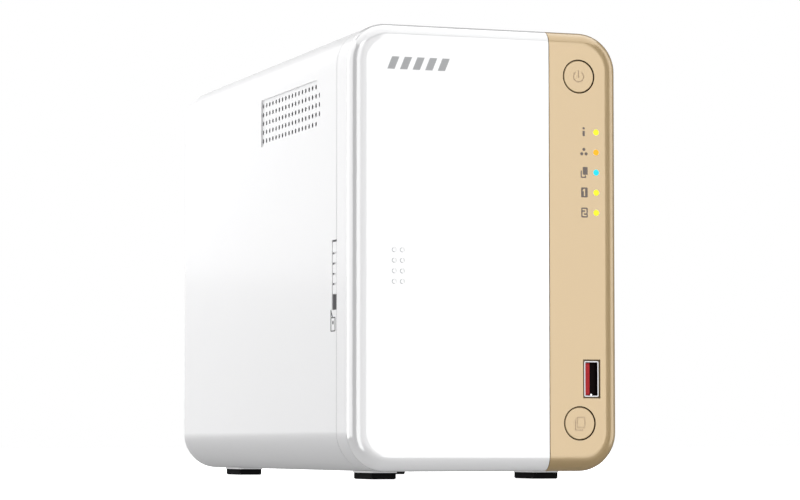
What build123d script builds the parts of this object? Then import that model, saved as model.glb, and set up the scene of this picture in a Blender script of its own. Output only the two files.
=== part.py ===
"""Two-bay desktop network attached storage unit.

Millimetres. +X is to the right seen from the front, the front faces -Y and +Z is up.
The origin is the centre of the unit's footprint, on the surface that its feet stand on.
"""
from build123d import *
import math
import os

os.makedirs("parts", exist_ok=True)

# ---------------------------------------------------------------- driving dimensions
WIDTH = 105.0                 # overall, X
DEPTH = 226.0                 # overall, Y
HEIGHT = 166.0                # overall, Z, feet included
FOOT_DROP = 3.0               # how far the feet hold the shell off the table
CORNER_R = 14.4               # long edges of the shell
SLEEVE_WALL = 2.0
FRONT_ROLL_R = 5.7            # rolled border of the front
FRONT_SKIN = 2.2              # wall of the front cover and the accent panel
SEAM_GAP = 0.3                # joint line between neighbouring outer pieces
COVER_GAP = 0.08              # front pieces to the bezel that they close against
FIT_GAP = 0.2                 # clearance of parts that are fixed inside one another
RUN_GAP = 0.3                 # clearance of parts that slide past one another
SLEEVE_SETBACK = 17.3         # front face to the front edge of the sleeve
BEZEL_WALL = 2.5
SHEET = 1.0                   # sheet steel of the chassis, the cage and the rear panel
BOARD_T = 1.6                 # every circuit board

DRIVE_W = 26.1                # 3.5 inch drive
DRIVE_L = 147.0
DRIVE_H = 101.6
DRIVE_PLAY = 0.6
TRAY_WALL = 2.0
TRAY_RAIL = 3.0
TRAY_SIDE_PLAY = 3.1          # tray body beside the drive
TRAY_FACE_T = 3.6
TRAY_FACE_LIP = 1.6           # how far a tray's front stands past its body, each side
TRAY_FACE_MARGIN = 11.5       # tray front to the shell's top and bottom
TRAY_FACE_GAP = 0.8           # between the two trays' fronts
CAGE_SIDE_GAP = 1.0           # cage to the sleeve's inside
TRAY_FACE_SETBACK = 9.2       # front face of the unit to the trays' fronts
KEY_W = 3.4                   # ridge on a tray that runs in its guide
KEY_H = 2.0
GUIDE_W = 12.0
GUIDE_T = 3.2

FAN_SIZE = 70.0
FAN_T = 15.0
FAN_HOLE_INSET = 5.0
FAN_TIP_GAP = 1.0
FAN_SIDE_GAP = 2.0            # fan to the sleeve's inside
FAN_DROP = 62.0               # top of the shell to the fan's axis

BUTTON_D = 11.9
BUTTON_GAP = 0.4
BUTTON_TRAVEL = 0.8
BUTTON_INSET = 16.1           # right side of the unit to the buttons' axis
POWER_DROP = 16.8             # top of the shell to the power button
COPY_RISE = 17.6              # bottom of the shell to the copy button
LED_INSET = 9.2
LED_DROP = 37.4
LED_PITCH = 7.5
LED_D = 2.5
USB_INSET = 11.3
USB_RISE = 34.0
USB_W = 5.7
USB_H = 13.15
USB_SHELL_T = 0.4
USB_MOUTH_GAP = 0.6

VENT_SETBACK = 37.1           # front face of the unit to the vent recess
VENT_L = 75.7
VENT_H = 18.6
VENT_DROP = 16.9              # top of the shell to the vent recess
VENT_NOSE = 4.5               # length of the recess' pointed front end
VENT_DEPTH = 0.6
VENT_HOLE_D = 1.9
VENT_ROWS = 5
VENT_COLUMNS = 17
VENT_ROW_PITCH = 3.5
VENT_COLUMN_PITCH = 4.24
VENT_BLIND_COLUMNS = 3
VENT_COLUMN_INSET = 1.2       # rear end of the recess to the first column

SLOT_RISE = 59.0              # bottom of the shell to the lock slider's slot
SLOT_H = 25.7
SLOT_LEN = 5.2
LOCK_H = 19.2
LOCK_TRAVEL = 5.5

FOOT_INSET = 20.3             # sides of the unit to the feet's middles
FOOT_W = 9.5
FOOT_L = 20.0
FOOT_SETBACK = 33.0           # front face of the unit to the front feet's middles
FOOT_REAR_INSET = 22.0
FOOT_PAD_T = 2.4
FOOT_STEM_D = 5.0

HOOK_W = 6.0                  # slanted hooks behind the front cover
HOOK_L = 4.5
HOOK_H = 4.0
HOOK_CLEAR = 6.5              # hooks' middles past the trays' fronts, up and down
DIMPLE_D = 1.8                # row of touch marks on the cover
DIMPLE_DEPTH = 0.25
DIMPLE_INSET = 16.3
DIMPLE_DROP = 1.3             # middle of the unit to the top marks
DIMPLE_COLUMN_PITCH = 3.1
DIMPLE_ROW_PITCH = 3.83
RIB_T = 1.2                   # stiffening ribs inside the cover
RIB_H = 1.6
POST_D = 5.0                  # posts behind the accent panel
POST_INSET = 6.5              # top and bottom of the shell to the posts
PEG_D = 2.5
SWITCH_T = 3.5
SWITCH_W = 6.0
PLUNGER_D = 4.0
LENS_COLLAR_D = 3.7
FRONT_SCREW_INSET = 3.5
FRONT_SCREW_SPREAD = 48.0
SCREW_BOSS_W = 6.0

LEVER_W = 15.0
LEVER_H = 62.0
LEVER_T = 3.2
LEVER_PIN_D = 2.4
LEVER_PIN_REACH = 3.5         # how far the pin goes in the tray, each side
LEVER_HEEL_R = 2.6
LEVER_RISE = 34.0             # middle of the unit to the lever's pin
LEVER_SIDE_GAP = 0.5
PIN_FIT = 0.05
TRAY_SLOT_H = 2.2
TRAY_SLOT_PITCH = 4.6
TRAY_SLOTS = 5                # above and below the lever

JACK_W = 16.2                 # network jack along Z
JACK_H = 13.6                 # along X
JACK_L = 21.0
JACK_MOUTH_W = 11.8
JACK_MOUTH_H = 7.4
JACK_MOUTH_L = 14.0
JACK_LIP = 2.6
JACK_LATCH_W = 6.2
JACK_LATCH_H = 2.3
JACK_WIRES = 8
JACK_WIRE_PITCH = 1.02
DC_BODY = 11.0
DC_BORE = 6.4
DC_PIN = 2.1
DC_BODY_L = 14.0
HDMI_W = 15.0
HDMI_H = 5.6
HDMI_L = 12.0
SHELL_SHEET = 0.5             # folded steel of the display socket
REAR_USB_L = 17.0
RESET_D = 3.0
RESET_FLANGE_D = 5.4
RESET_STEM = 7.0              # behind the rear panel
RESET_SWITCH_H = 5.2
RESET_INSET = 4.0
LOCK_SLOT_W = 3.0             # slot for a cable lock
LOCK_SLOT_H = 7.0
LOCK_SLOT_INSET = 12.5
LOCK_SLOT_RISE = 17.0

HUB_D = 28.0
SHAFT_D = 3.0
SHAFT_FIT = 0.03
BLADES = 7
BLADE_T = 1.3
BLADE_ANGLE = 42
FAN_LEAD_D = 2.2
GRILLE_HOLE_D = 4.0
GRILLE_PITCH = 5.0
AIR_SLOT_L = 48.0             # slots under the fan
AIR_SLOT_H = 2.4
AIR_SLOT_PITCH = 5.0

BRACKET_END = 14.0            # cage's ends to the middles of its brackets
BRACKET_W = 14.0
BRACKET_H = 8.0               # foot of a bracket along X
COIN_D = 20.0
COIN_H = 3.2
SINK_L = 50.0                 # heat sink, along Y and Z
SINK_H = 11.0
SINK_FINS = 13
FIN_T = 1.4
CHIP_W = 22.0
CHIP_T = 2.0

SCREW_D = 3.0
SCREW_HEAD_D = 5.6
SCREW_HEAD_H = 1.3

# ---------------------------------------------------------------- places worked out
FRONT_Y = -DEPTH / 2
REAR_Y = DEPTH / 2
SHELL_Z0 = FOOT_DROP
SHELL_Z1 = HEIGHT
MID_Z = (SHELL_Z0 + SHELL_Z1) / 2
SIDE_X = WIDTH / 2
SLEEVE_Y = FRONT_Y + SLEEVE_SETBACK
COVER_BACK_Y = FRONT_Y + FRONT_ROLL_R + 0.1
BEZEL_Y = COVER_BACK_Y + COVER_GAP
SPIGOT_T = 1.5
SPIGOT_L = 6.0
INNER_X = SIDE_X - SLEEVE_WALL
FLOOR_Z = SHELL_Z0 + SLEEVE_WALL
BUTTON_X = SIDE_X - BUTTON_INSET
POWER_Z = SHELL_Z1 - POWER_DROP
COPY_Z = SHELL_Z0 + COPY_RISE
LED_X = SIDE_X - LED_INSET
LED_TOP_Z = SHELL_Z1 - LED_DROP
USB_X = SIDE_X - USB_INSET
USB_Z = SHELL_Z0 + USB_RISE
FOOT_X = SIDE_X - FOOT_INSET
FOOT_FRONT_Y = FRONT_Y + FOOT_SETBACK
FOOT_REAR_Y = REAR_Y - FOOT_REAR_INSET
VENT_FRONT_Y = FRONT_Y + VENT_SETBACK
VENT_REAR_Y = VENT_FRONT_Y + VENT_L
VENT_TOP_Z = SHELL_Z1 - VENT_DROP
VENT_LOW_Z = VENT_TOP_Z - VENT_H
SLOT_Z0 = SHELL_Z0 + SLOT_RISE
SLOT_Z1 = SLOT_Z0 + SLOT_H

TRAY_Y = FRONT_Y + TRAY_FACE_SETBACK
TRAY_BODY_Y = TRAY_Y + TRAY_FACE_T
TRAY_INNER_H = DRIVE_H + DRIVE_PLAY
TRAY_BODY_H = TRAY_INNER_H + 2 * TRAY_RAIL
TRAY_BODY_W = TRAY_WALL + DRIVE_W + TRAY_SIDE_PLAY
TRAY_FACE_W = TRAY_BODY_W + 2 * TRAY_FACE_LIP
TRAY_FACE_H = SHELL_Z1 - SHELL_Z0 - 2 * TRAY_FACE_MARGIN
BAY_PITCH = TRAY_FACE_W + TRAY_FACE_GAP
CAGE_W = 2 * BAY_PITCH + 2 * SHEET
CAGE_IN_H = TRAY_BODY_H + 2 * (GUIDE_T + RUN_GAP)
CAGE_Z0 = MID_Z - CAGE_IN_H / 2 - SHEET
CAGE_Z1 = MID_Z + CAGE_IN_H / 2 + SHEET
INNER_R = CORNER_R - SLEEVE_WALL
CORNER_DROP = max(0.0, SHELL_Z0 + CORNER_R - CAGE_Z0)
CORNER_REACH = INNER_R - math.sqrt(INNER_R ** 2 - min(CORNER_DROP, INNER_R) ** 2)
BAY_CENTRE_X = -INNER_X + max(CAGE_SIDE_GAP, CORNER_REACH + FIT_GAP) + CAGE_W / 2
BAY_X = [BAY_CENTRE_X - BAY_PITCH / 2, BAY_CENTRE_X + BAY_PITCH / 2]
CAGE_X0 = BAY_CENTRE_X - CAGE_W / 2
CAGE_X1 = BAY_CENTRE_X + CAGE_W / 2
CAGE_Y0 = SLEEVE_Y + SPIGOT_L + 1.7
DRIVE_Y0 = TRAY_BODY_Y + 1.0
DRIVE_Y1 = DRIVE_Y0 + DRIVE_L
TRAY_END_Y = DRIVE_Y1 - 4.0
CAGE_Y1 = DRIVE_Y1 + 6.0
BACKPLANE_Y = CAGE_Y1
WINDOW_GAP = 0.5
WINDOW_X0 = BAY_X[0] - TRAY_FACE_W / 2 - WINDOW_GAP
WINDOW_X1 = BAY_X[1] + TRAY_FACE_W / 2 + WINDOW_GAP
WINDOW_H = TRAY_FACE_H + 2 * WINDOW_GAP
COVER_SPLIT_X = WINDOW_X1 + BEZEL_WALL
RIGHT_X0 = WINDOW_X1 + 2 * BEZEL_WALL
RIGHT_X1 = INNER_X - SPIGOT_T - FIT_GAP - 0.4
RIGHT_MARGIN = 9.0
RIGHT_H = SHELL_Z1 - SHELL_Z0 - 2 * RIGHT_MARGIN

PANEL_Y1 = REAR_Y - 1.5       # rear panel's outer face
PANEL_Y0 = PANEL_Y1 - SHEET
FAN_Y1 = PANEL_Y0
FAN_Y0 = FAN_Y1 - FAN_T
FAN_X = -INNER_X + FAN_SIDE_GAP + FAN_SIZE / 2
FAN_Z = SHELL_Z1 - FAN_DROP
CARRIER_X = INNER_X - 0.5     # outer face of the chassis' upright wall
STANDOFF_H = 3.0
BOARD_X1 = CARRIER_X - SHEET - STANDOFF_H
BOARD_X0 = BOARD_X1 - BOARD_T
BOARD_Y0 = FRONT_Y + 51.0
BOARD_Y1 = PANEL_Y0 - 0.6
SINK_Y0 = BOARD_Y0 + 42.0
BOARD_Z0 = SHELL_Z0 + 19.0
BOARD_Z1 = SHELL_Z1 - 13.0
FRONT_BOARD_Y = FRONT_Y + 15.0
FRONT_BOARD_X0 = RIGHT_X0 + 1.0
FRONT_BOARD_X1 = RIGHT_X1 - 0.6
FRONT_BOARD_Z0 = COPY_Z - 4.0
FRONT_BOARD_Z1 = POWER_Z + 4.0
LOCK_TOP_GAP = 0.7
LOCK_Z1 = SLOT_Z1 - LOCK_TOP_GAP
LOCK_Z0 = LOCK_Z1 - LOCK_H
LEVER_TOP_Z = MID_Z + LEVER_RISE
LEVER_PIN_Y = TRAY_Y + TRAY_FACE_T / 2
BRACKET_Y = (CAGE_Y0 + BRACKET_END, CAGE_Y1 - BRACKET_END)
FAN_BORE = FAN_SIZE - 3.0
IO_X = BOARD_X0               # sockets stand on the main board's inner face
IO_Y = PANEL_Y1 - 0.1         # mouths, flush with the rear panel
REAR_USB_X = IO_X - USB_W / 2
RESET_X = IO_X - RESET_INSET
SECURITY_X = -SIDE_X + LOCK_SLOT_INSET
SECURITY_Z = SHELL_Z0 + LOCK_SLOT_RISE


# ---------------------------------------------------------------- helpers
def block(x0, x1, y0, y1, z0, z1):
    """Box between two corners."""
    size = Box(abs(x1 - x0), abs(y1 - y0), abs(z1 - z0))
    return Pos((x0 + x1) / 2, (y0 + y1) / 2, (z0 + z1) / 2) * size


def rod(x, z, diameter, y0, y1):
    """Cylinder along Y."""
    length = abs(y1 - y0)
    return Pos(x, (y0 + y1) / 2, z) * Rot(90, 0, 0) * Cylinder(diameter / 2, length)


def rod_x(y, z, diameter, x0, x1):
    """Cylinder along X."""
    length = abs(x1 - x0)
    return Pos((x0 + x1) / 2, y, z) * Rot(0, 90, 0) * Cylinder(diameter / 2, length)


def rod_z(x, y, diameter, z0, z1):
    """Cylinder along Z."""
    length = abs(z1 - z0)
    return Pos(x, y, (z0 + z1) / 2) * Cylinder(diameter / 2, length)


def tube_prism(inset, y0, y1):
    """Solid with the shell's rounded outline, drawn in by inset, from y0 to y1."""
    outline = RectangleRounded(
        WIDTH - 2 * inset, SHELL_Z1 - SHELL_Z0 - 2 * inset, CORNER_R - inset
    )
    plane = Plane(origin=(0, y1, MID_Z), x_dir=(1, 0, 0), z_dir=(0, -1, 0))
    return extrude(plane * outline, abs(y1 - y0))


def prism_xy(points, z0, z1):
    """Solid whose outline lies in X and Y."""
    face = make_face(Polyline(*[(x, y, z0) for x, y in points], close=True))
    return extrude(face, z1 - z0, dir=(0, 0, 1))


def prism_xz(points, y0, y1):
    """Solid whose outline lies in X and Z."""
    face = make_face(Polyline(*[(x, y0, z) for x, z in points], close=True))
    return extrude(face, y1 - y0, dir=(0, 1, 0))


def prism_yz(points, x0, x1):
    """Solid whose outline lies in Y and Z."""
    face = make_face(Polyline(*[(x0, y, z) for y, z in points], close=True))
    return extrude(face, x1 - x0, dir=(1, 0, 0))


def cut(body, tools):
    """Body less every tool in the list."""
    return body - tools if tools else body


def group(shapes):
    """Separate solids kept together in one node."""
    return Compound(children=[solid for shape in shapes for solid in shape.solids()])


NODES = {}


def node(name, shape):
    """Names a finished piece."""
    NODES[name] = shape
    return shape


def screw(x, y, z, direction, length):
    """Pan head machine screw; direction is the outward axis of its head."""
    head = Cylinder(SCREW_HEAD_D / 2, SCREW_HEAD_H)
    head = fillet(head.edges().group_by(Axis.Z)[-1], SCREW_HEAD_H * 0.6)
    shank = Pos(0, 0, -SCREW_HEAD_H / 2 - length / 2) * Cylinder(SCREW_D / 2, length)
    recess = Pos(0, 0, SCREW_HEAD_H / 2) * (Box(3.0, 0.7, 1.4) + Box(0.7, 3.0, 1.4))
    made = Pos(0, 0, SCREW_HEAD_H / 2) * (head + shank - recess)
    plane = Plane(origin=(x, y, z), z_dir=direction)
    return plane * made


# ---------------------------------------------------------------- outer shell
def vent_columns():
    """Y of each column of vent holes, rear to front."""
    first = VENT_REAR_Y - VENT_COLUMN_INSET
    return [first - VENT_COLUMN_PITCH * i for i in range(VENT_COLUMNS + 1)]


def vent_rows():
    """Z of each row of vent holes, low to high."""
    first = VENT_LOW_Z + 2.2
    return [first + VENT_ROW_PITCH * i for i in range(VENT_ROWS)]


def outer_sleeve():
    """Rounded rectangular tube that slides over the chassis from the rear."""
    sleeve = tube_prism(0, SLEEVE_Y, REAR_Y) - tube_prism(SLEEVE_WALL, SLEEVE_Y, REAR_Y)
    y0, y1, z0, z1 = VENT_FRONT_Y, VENT_REAR_Y, VENT_LOW_Z, VENT_TOP_Z
    recess = prism_yz(
        [(y1, z0), (y1, z1), (y0 + VENT_NOSE, z1), (y0 + 0.2, z1 - VENT_NOSE / 2),
         (y0, z0 + VENT_NOSE), (y0 + 0.65 * VENT_NOSE, z0)],
        -SIDE_X, -SIDE_X + VENT_DEPTH,
    )
    tools = [recess]
    rows = vent_rows()
    for column, y in enumerate(vent_columns()):
        used = rows if column < VENT_COLUMNS else rows[1:-1]
        depth = VENT_DEPTH + 0.5 if column < VENT_BLIND_COLUMNS else SLEEVE_WALL + 1
        tools += [rod_x(y, z, VENT_HOLE_D, -SIDE_X - 0.1, -SIDE_X + depth) for z in used]
    tools.append(block(-SIDE_X - 1, -INNER_X + 1, SLEEVE_Y - 1, SLEEVE_Y + SLOT_LEN, SLOT_Z0, SLOT_Z1))
    for x, y in foot_places():
        tools.append(rod_z(x, y, FOOT_STEM_D + 2 * FIT_GAP, SHELL_Z0 - 1, FLOOR_Z + 1))
    return cut(sleeve, tools)


def foot_places():
    return [(sx * FOOT_X, y) for y in (FOOT_FRONT_Y, FOOT_REAR_Y) for sx in (-1, 1)]


def foot_base(x, y):
    """Light plastic plate under the shell with a stem that clips through its floor."""
    plate_t = FOOT_DROP - FOOT_PAD_T
    plate = block(x - FOOT_W / 2 - 0.6, x + FOOT_W / 2 + 0.6, y - FOOT_L / 2 - 0.6,
                  y + FOOT_L / 2 + 0.6, FOOT_PAD_T, SHELL_Z0)
    plate = fillet(plate.edges().filter_by(Axis.Z), 1.5)
    stem = rod_z(x, y, FOOT_STEM_D, SHELL_Z0 - plate_t / 2, FLOOR_Z)
    return plate + stem


def foot_pad(x, y):
    """Rubber pad."""
    pad = block(x - FOOT_W / 2, x + FOOT_W / 2, y - FOOT_L / 2, y + FOOT_L / 2, 0, FOOT_PAD_T)
    return chamfer(pad.edges().group_by(Axis.Z)[0], 0.4)


def hook_places():
    """X and Z of the cover's four slanted hooks."""
    z_low = MID_Z - TRAY_FACE_H / 2 - HOOK_CLEAR
    z_high = MID_Z + TRAY_FACE_H / 2 + HOOK_CLEAR
    return [(x, z) for x in (BAY_X[0] - 3, BAY_X[1]) for z in (z_low, z_high)]


def slanted_prism(x, z, grow, y_front, y_back):
    """Prism that leans 45 degrees: one step back is one step to the right."""
    lean = y_back - y_front
    offset = y_front - COVER_BACK_Y
    x0 = x + offset - grow
    x1 = x + offset + HOOK_W + grow
    outline = [(x0, y_front), (x1, y_front), (x1 + lean, y_back), (x0 + lean, y_back)]
    return prism_xy(outline, z - HOOK_H / 2 - grow / 2, z + HOOK_H / 2 + grow / 2)


def front_bezel():
    """Frame between the sleeve and the front pieces, with the bays' window."""
    plate = tube_prism(0, BEZEL_Y, SLEEVE_Y - SEAM_GAP)
    hollow = tube_prism(BEZEL_WALL, BEZEL_Y + BEZEL_WALL, SLEEVE_Y)
    window = block(WINDOW_X0, WINDOW_X1, BEZEL_Y - 1, SLEEVE_Y + 1,
                   MID_Z - WINDOW_H / 2, MID_Z + WINDOW_H / 2)
    rim = block(WINDOW_X0 - 1.5, WINDOW_X1 + BEZEL_WALL, BEZEL_Y, SLEEVE_Y - SEAM_GAP,
                MID_Z - WINDOW_H / 2 - BEZEL_WALL, MID_Z + WINDOW_H / 2 + BEZEL_WALL)
    rim &= tube_prism(0, BEZEL_Y, SLEEVE_Y)
    right = block(RIGHT_X0, RIGHT_X1, BEZEL_Y - 1, SLEEVE_Y + 1,
                  MID_Z - RIGHT_H / 2, MID_Z + RIGHT_H / 2)
    body = plate - hollow + rim - window
    right_rim = block(RIGHT_X0 - BEZEL_WALL, RIGHT_X1, BEZEL_Y, SLEEVE_Y - SEAM_GAP,
                      MID_Z - RIGHT_H / 2 - BEZEL_WALL, MID_Z + RIGHT_H / 2 + BEZEL_WALL)
    body = body + right_rim - right - window
    spigot_in = SLEEVE_WALL + FIT_GAP
    spigot = tube_prism(spigot_in, SLEEVE_Y - SEAM_GAP - 0.5, SLEEVE_Y + SPIGOT_L)
    spigot -= tube_prism(spigot_in + SPIGOT_T, SLEEVE_Y - 2, SLEEVE_Y + SPIGOT_L + 1)
    body += spigot
    tools = [slanted_prism(x, z, RUN_GAP, BEZEL_Y - 1, SLEEVE_Y) for x, z in hook_places()]
    neck_y0, neck_y1 = lock_neck_y()
    tools.append(block(-INNER_X - 1, -INNER_X + 4, neck_y0 - RUN_GAP, neck_y1 + RUN_GAP,
                       LOCK_Z0 + 4 - LOCK_TRAVEL - RUN_GAP, LOCK_Z1 - 4 + RUN_GAP))
    tools += [rod(x, z, PEG_D, BEZEL_Y - 1, SLEEVE_Y) for x, z in panel_peg_places()]
    for x, z in front_board_screws():
        half = SCREW_BOSS_W / 2
        body += block(RIGHT_X0 - 1, x + half, BEZEL_Y + 1.0, FRONT_BOARD_Y, z - half, z + half)
        tools.append(rod(x, z, SCREW_D, FRONT_BOARD_Y - 5, FRONT_BOARD_Y + 1))
    return cut(body, tools)


def lock_neck_y():
    """Y range of the lock slider's neck."""
    middle = SLEEVE_Y + SLOT_LEN / 2
    return middle - 1.2, middle + 1.2


def lock_slider():
    """Slider with four grip grooves; a neck and foot hold it to the bezel's spigot."""
    y0 = SLEEVE_Y + 0.25
    y1 = SLEEVE_Y + SLOT_LEN - 0.25
    face_x1 = -INNER_X - 0.05
    face = block(-SIDE_X + 0.15, face_x1, y0, y1, LOCK_Z0, LOCK_Z1)
    face = fillet(face.edges().filter_by(Axis.X), 0.6)
    pitch = LOCK_H / 5.1
    grooves = [block(-SIDE_X - 1, -SIDE_X + 0.75, y0 - 1, y1 + 1, z - 0.35, z + 0.35)
               for z in [LOCK_Z1 - 4.2 - pitch * i for i in range(4)]]
    neck_y0, neck_y1 = lock_neck_y()
    foot_x0 = -INNER_X + FIT_GAP + SPIGOT_T + RUN_GAP
    neck = block(face_x1 - 0.1, foot_x0 + 0.1, neck_y0, neck_y1, LOCK_Z0 + 4, LOCK_Z1 - 4)
    foot = block(foot_x0, foot_x0 + 1.0, neck_y0 - 1.1, neck_y1 + 1.1, LOCK_Z0 + 4, LOCK_Z1 - 4)
    return cut(face + neck + foot, grooves)


# ---------------------------------------------------------------- front pieces
def front_shell():
    """Hollow rolled front that the cover and the accent panel are cut from."""
    outer = tube_prism(0, FRONT_Y, COVER_BACK_Y)
    outer = fillet(outer.edges().group_by(Axis.Y)[0], FRONT_ROLL_R)
    inner = tube_prism(FRONT_SKIN, FRONT_Y + FRONT_SKIN, COVER_BACK_Y + 1)
    inner = fillet(inner.edges().group_by(Axis.Y)[0], FRONT_ROLL_R - FRONT_SKIN)
    return outer, inner


def dimple_places():
    first = -SIDE_X + DIMPLE_INSET
    return [(first + DIMPLE_COLUMN_PITCH * column, MID_Z - DIMPLE_DROP - DIMPLE_ROW_PITCH * row)
            for column in range(2) for row in range(4)]


def front_cover():
    """Glossy cover over the bays, with four slanted hooks behind it."""
    outer, inner = front_shell()
    edge = COVER_SPLIT_X - SEAM_GAP / 2
    left = block(-SIDE_X - 1, edge, FRONT_Y - 1, COVER_BACK_Y + 1, 0, HEIGHT + 1)
    cavity = inner & block(-SIDE_X, edge - FRONT_SKIN, FRONT_Y, COVER_BACK_Y + 2, 0, HEIGHT)
    cover = (outer & left) - cavity
    parts = []
    for x, z in hook_places():
        foot_y = FRONT_Y + FRONT_SKIN - 0.2
        parts.append(block(x, x + HOOK_W, foot_y, COVER_BACK_Y, z - HOOK_H / 2, z + HOOK_H / 2))
        parts.append(slanted_prism(x, z, 0, COVER_BACK_Y, COVER_BACK_Y + HOOK_L))
    rib_y1 = FRONT_Y + FRONT_SKIN + RIB_H
    for x in (BAY_X[0] - 5, BAY_CENTRE_X, BAY_X[1] + 5):
        parts.append(block(x - RIB_T / 2, x + RIB_T / 2, FRONT_Y + FRONT_SKIN - 0.2, rib_y1,
                           MID_Z - TRAY_FACE_H / 2, MID_Z + TRAY_FACE_H / 2))
    cover += parts
    dimples = [rod(x, z, DIMPLE_D, FRONT_Y - 1, FRONT_Y + DIMPLE_DEPTH) for x, z in dimple_places()]
    return cut(cover, dimples)


def accent_panel():
    """Metallic strip with the buttons, the status lights and the front USB socket."""
    outer, inner = front_shell()
    edge = COVER_SPLIT_X + SEAM_GAP / 2
    right = block(edge, SIDE_X + 1, FRONT_Y - 1, COVER_BACK_Y + 1, 0, HEIGHT + 1)
    cavity = inner & block(edge + 1.6, SIDE_X, FRONT_Y, COVER_BACK_Y + 2, 0, HEIGHT)
    panel = (outer & right) - cavity
    for x, z in panel_peg_places():
        panel += rod(x, z, POST_D, FRONT_Y + FRONT_SKIN - 0.2, BEZEL_Y)
        panel += rod(x, z, PEG_D, BEZEL_Y - 0.5, BEZEL_Y + BEZEL_WALL + 0.8)
    tools = [rod(BUTTON_X, z, BUTTON_D + 2 * BUTTON_GAP, FRONT_Y - 1, COVER_BACK_Y)
             for z in (POWER_Z, COPY_Z)]
    tools += [rod(LED_X, z, LED_D, FRONT_Y - 1, COVER_BACK_Y) for z in led_places()]
    half_w = USB_W / 2 + USB_MOUTH_GAP
    half_h = USB_H / 2 + USB_MOUTH_GAP
    tools.append(block(USB_X - half_w, USB_X + half_w, FRONT_Y - 1, COVER_BACK_Y + 1,
                       USB_Z - half_h, USB_Z + half_h))
    return cut(panel, tools)


def panel_peg_places():
    """Posts with staked pegs that hold the accent panel to the bezel."""
    x = COVER_SPLIT_X + 5.0
    return [(x, SHELL_Z0 + POST_INSET), (x, SHELL_Z1 - POST_INSET)]


def led_places():
    return [LED_TOP_Z - LED_PITCH * i for i in range(5)]


def button(z):
    """Round push button with a retaining flange and a plunger."""
    cap = rod(BUTTON_X, z, BUTTON_D, FRONT_Y + 0.05, FRONT_Y + FRONT_SKIN + 0.6)
    cap = chamfer(cap.edges().group_by(Axis.Y)[0], 0.25)
    flange_y = FRONT_Y + FRONT_SKIN + RUN_GAP
    flange = rod(BUTTON_X, z, BUTTON_D + 2.4, flange_y, flange_y + 0.9)
    switch_y = FRONT_BOARD_Y - SWITCH_T
    plunger = rod(BUTTON_X, z, PLUNGER_D, flange_y, switch_y - BUTTON_TRAVEL - 0.25)
    return cap + flange + plunger


def status_lens(z):
    """Round light pipe from a lamp on the front board to the panel's face."""
    end = FRONT_BOARD_Y - 1.0
    lens = rod(LED_X, z, LED_D, FRONT_Y, end)
    collar = rod(LED_X, z, LENS_COLLAR_D, COVER_BACK_Y, COVER_BACK_Y + 1.2)
    return lens + collar


def lamp_bodies():
    """Surface mounted lamps behind the light pipes."""
    return group([block(LED_X - 1, LED_X + 1, FRONT_BOARD_Y - 0.9, FRONT_BOARD_Y, z - 0.8, z + 0.8)
                  for z in led_places()])


def front_board():
    """Circuit board behind the accent panel."""
    board = block(FRONT_BOARD_X0, FRONT_BOARD_X1, FRONT_BOARD_Y, FRONT_BOARD_Y + BOARD_T,
                  FRONT_BOARD_Z0, FRONT_BOARD_Z1)
    tools = [rod(x, z, SCREW_D + 0.3, FRONT_BOARD_Y - 1, FRONT_BOARD_Y + BOARD_T + 1)
             for x, z in front_board_screws()]
    return cut(board, tools)


def front_board_screws():
    x = FRONT_BOARD_X0 + FRONT_SCREW_INSET
    return [(x, MID_Z - FRONT_SCREW_SPREAD), (x, MID_Z + FRONT_SCREW_SPREAD)]


def front_switch(z):
    """Tactile switch."""
    half = SWITCH_W / 2
    body = block(BUTTON_X - half, BUTTON_X + half, FRONT_BOARD_Y - SWITCH_T + 0.7, FRONT_BOARD_Y,
                 z - half, z + half)
    tip = rod(BUTTON_X, z, 3.4, FRONT_BOARD_Y - SWITCH_T, FRONT_BOARD_Y - 1)
    return body + tip


# ---------------------------------------------------------------- sockets
def usb_shell(x, z, y_mouth, y_end):
    """Folded steel tube of an upright USB type A socket."""
    y0, y1 = min(y_mouth, y_end), max(y_mouth, y_end)
    tube = block(x - USB_W / 2, x + USB_W / 2, y0, y1, z - USB_H / 2, z + USB_H / 2)
    tube = fillet(tube.edges().filter_by(Axis.Y), 0.5)
    t = USB_SHELL_T
    back = 0.6 if y_end > y_mouth else -0.6
    i0, i1 = sorted((y_mouth - back, y_end - back))
    return tube - block(x - USB_W / 2 + t, x + USB_W / 2 - t, i0, i1,
                        z - USB_H / 2 + t, z + USB_H / 2 - t)


def usb_tongue(x, z, y_mouth, y_end, side):
    """Plastic tongue that carries the contacts, on one side of the socket."""
    step = 0.8 if y_end > y_mouth else -0.8
    y0, y1 = sorted((y_mouth + step, y_end - math.copysign(0.6, step)))
    x_in = x + side * (USB_W / 2 - USB_SHELL_T)
    x0, x1 = sorted((x_in, x_in - side * 2.0))
    return block(x0, x1, y0, y1, z - USB_H / 2 + 0.7, z + USB_H / 2 - 0.7)


def usb_contacts(x, z, y_mouth, y_end, side):
    """Four sprung contacts on the tongue's face."""
    step = 2.0 if y_end > y_mouth else -2.0
    y0, y1 = sorted((y_mouth + step, y_mouth + 4.5 * step))
    x_face = x + side * (USB_W / 2 - USB_SHELL_T - 2.0)
    x0, x1 = sorted((x_face, x_face - side * 0.25))
    return [block(x0, x1, y0, y1, z + dz - 0.5, z + dz + 0.5) for dz in (-3.5, -1.1, 1.1, 3.5)]


def socket_column():
    """Middles of the sockets, spread down the main board's rear edge with equal gaps."""
    heights = [max(RESET_SWITCH_H, RESET_FLANGE_D), HDMI_W, USB_H, USB_H, USB_H, JACK_W, JACK_W, DC_BODY]
    gap = (BOARD_Z1 - BOARD_Z0 - sum(heights)) / (len(heights) + 1)
    places = []
    z = BOARD_Z1
    for height in heights:
        places.append(z - gap - height / 2)
        z -= gap + height
    return places


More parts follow.
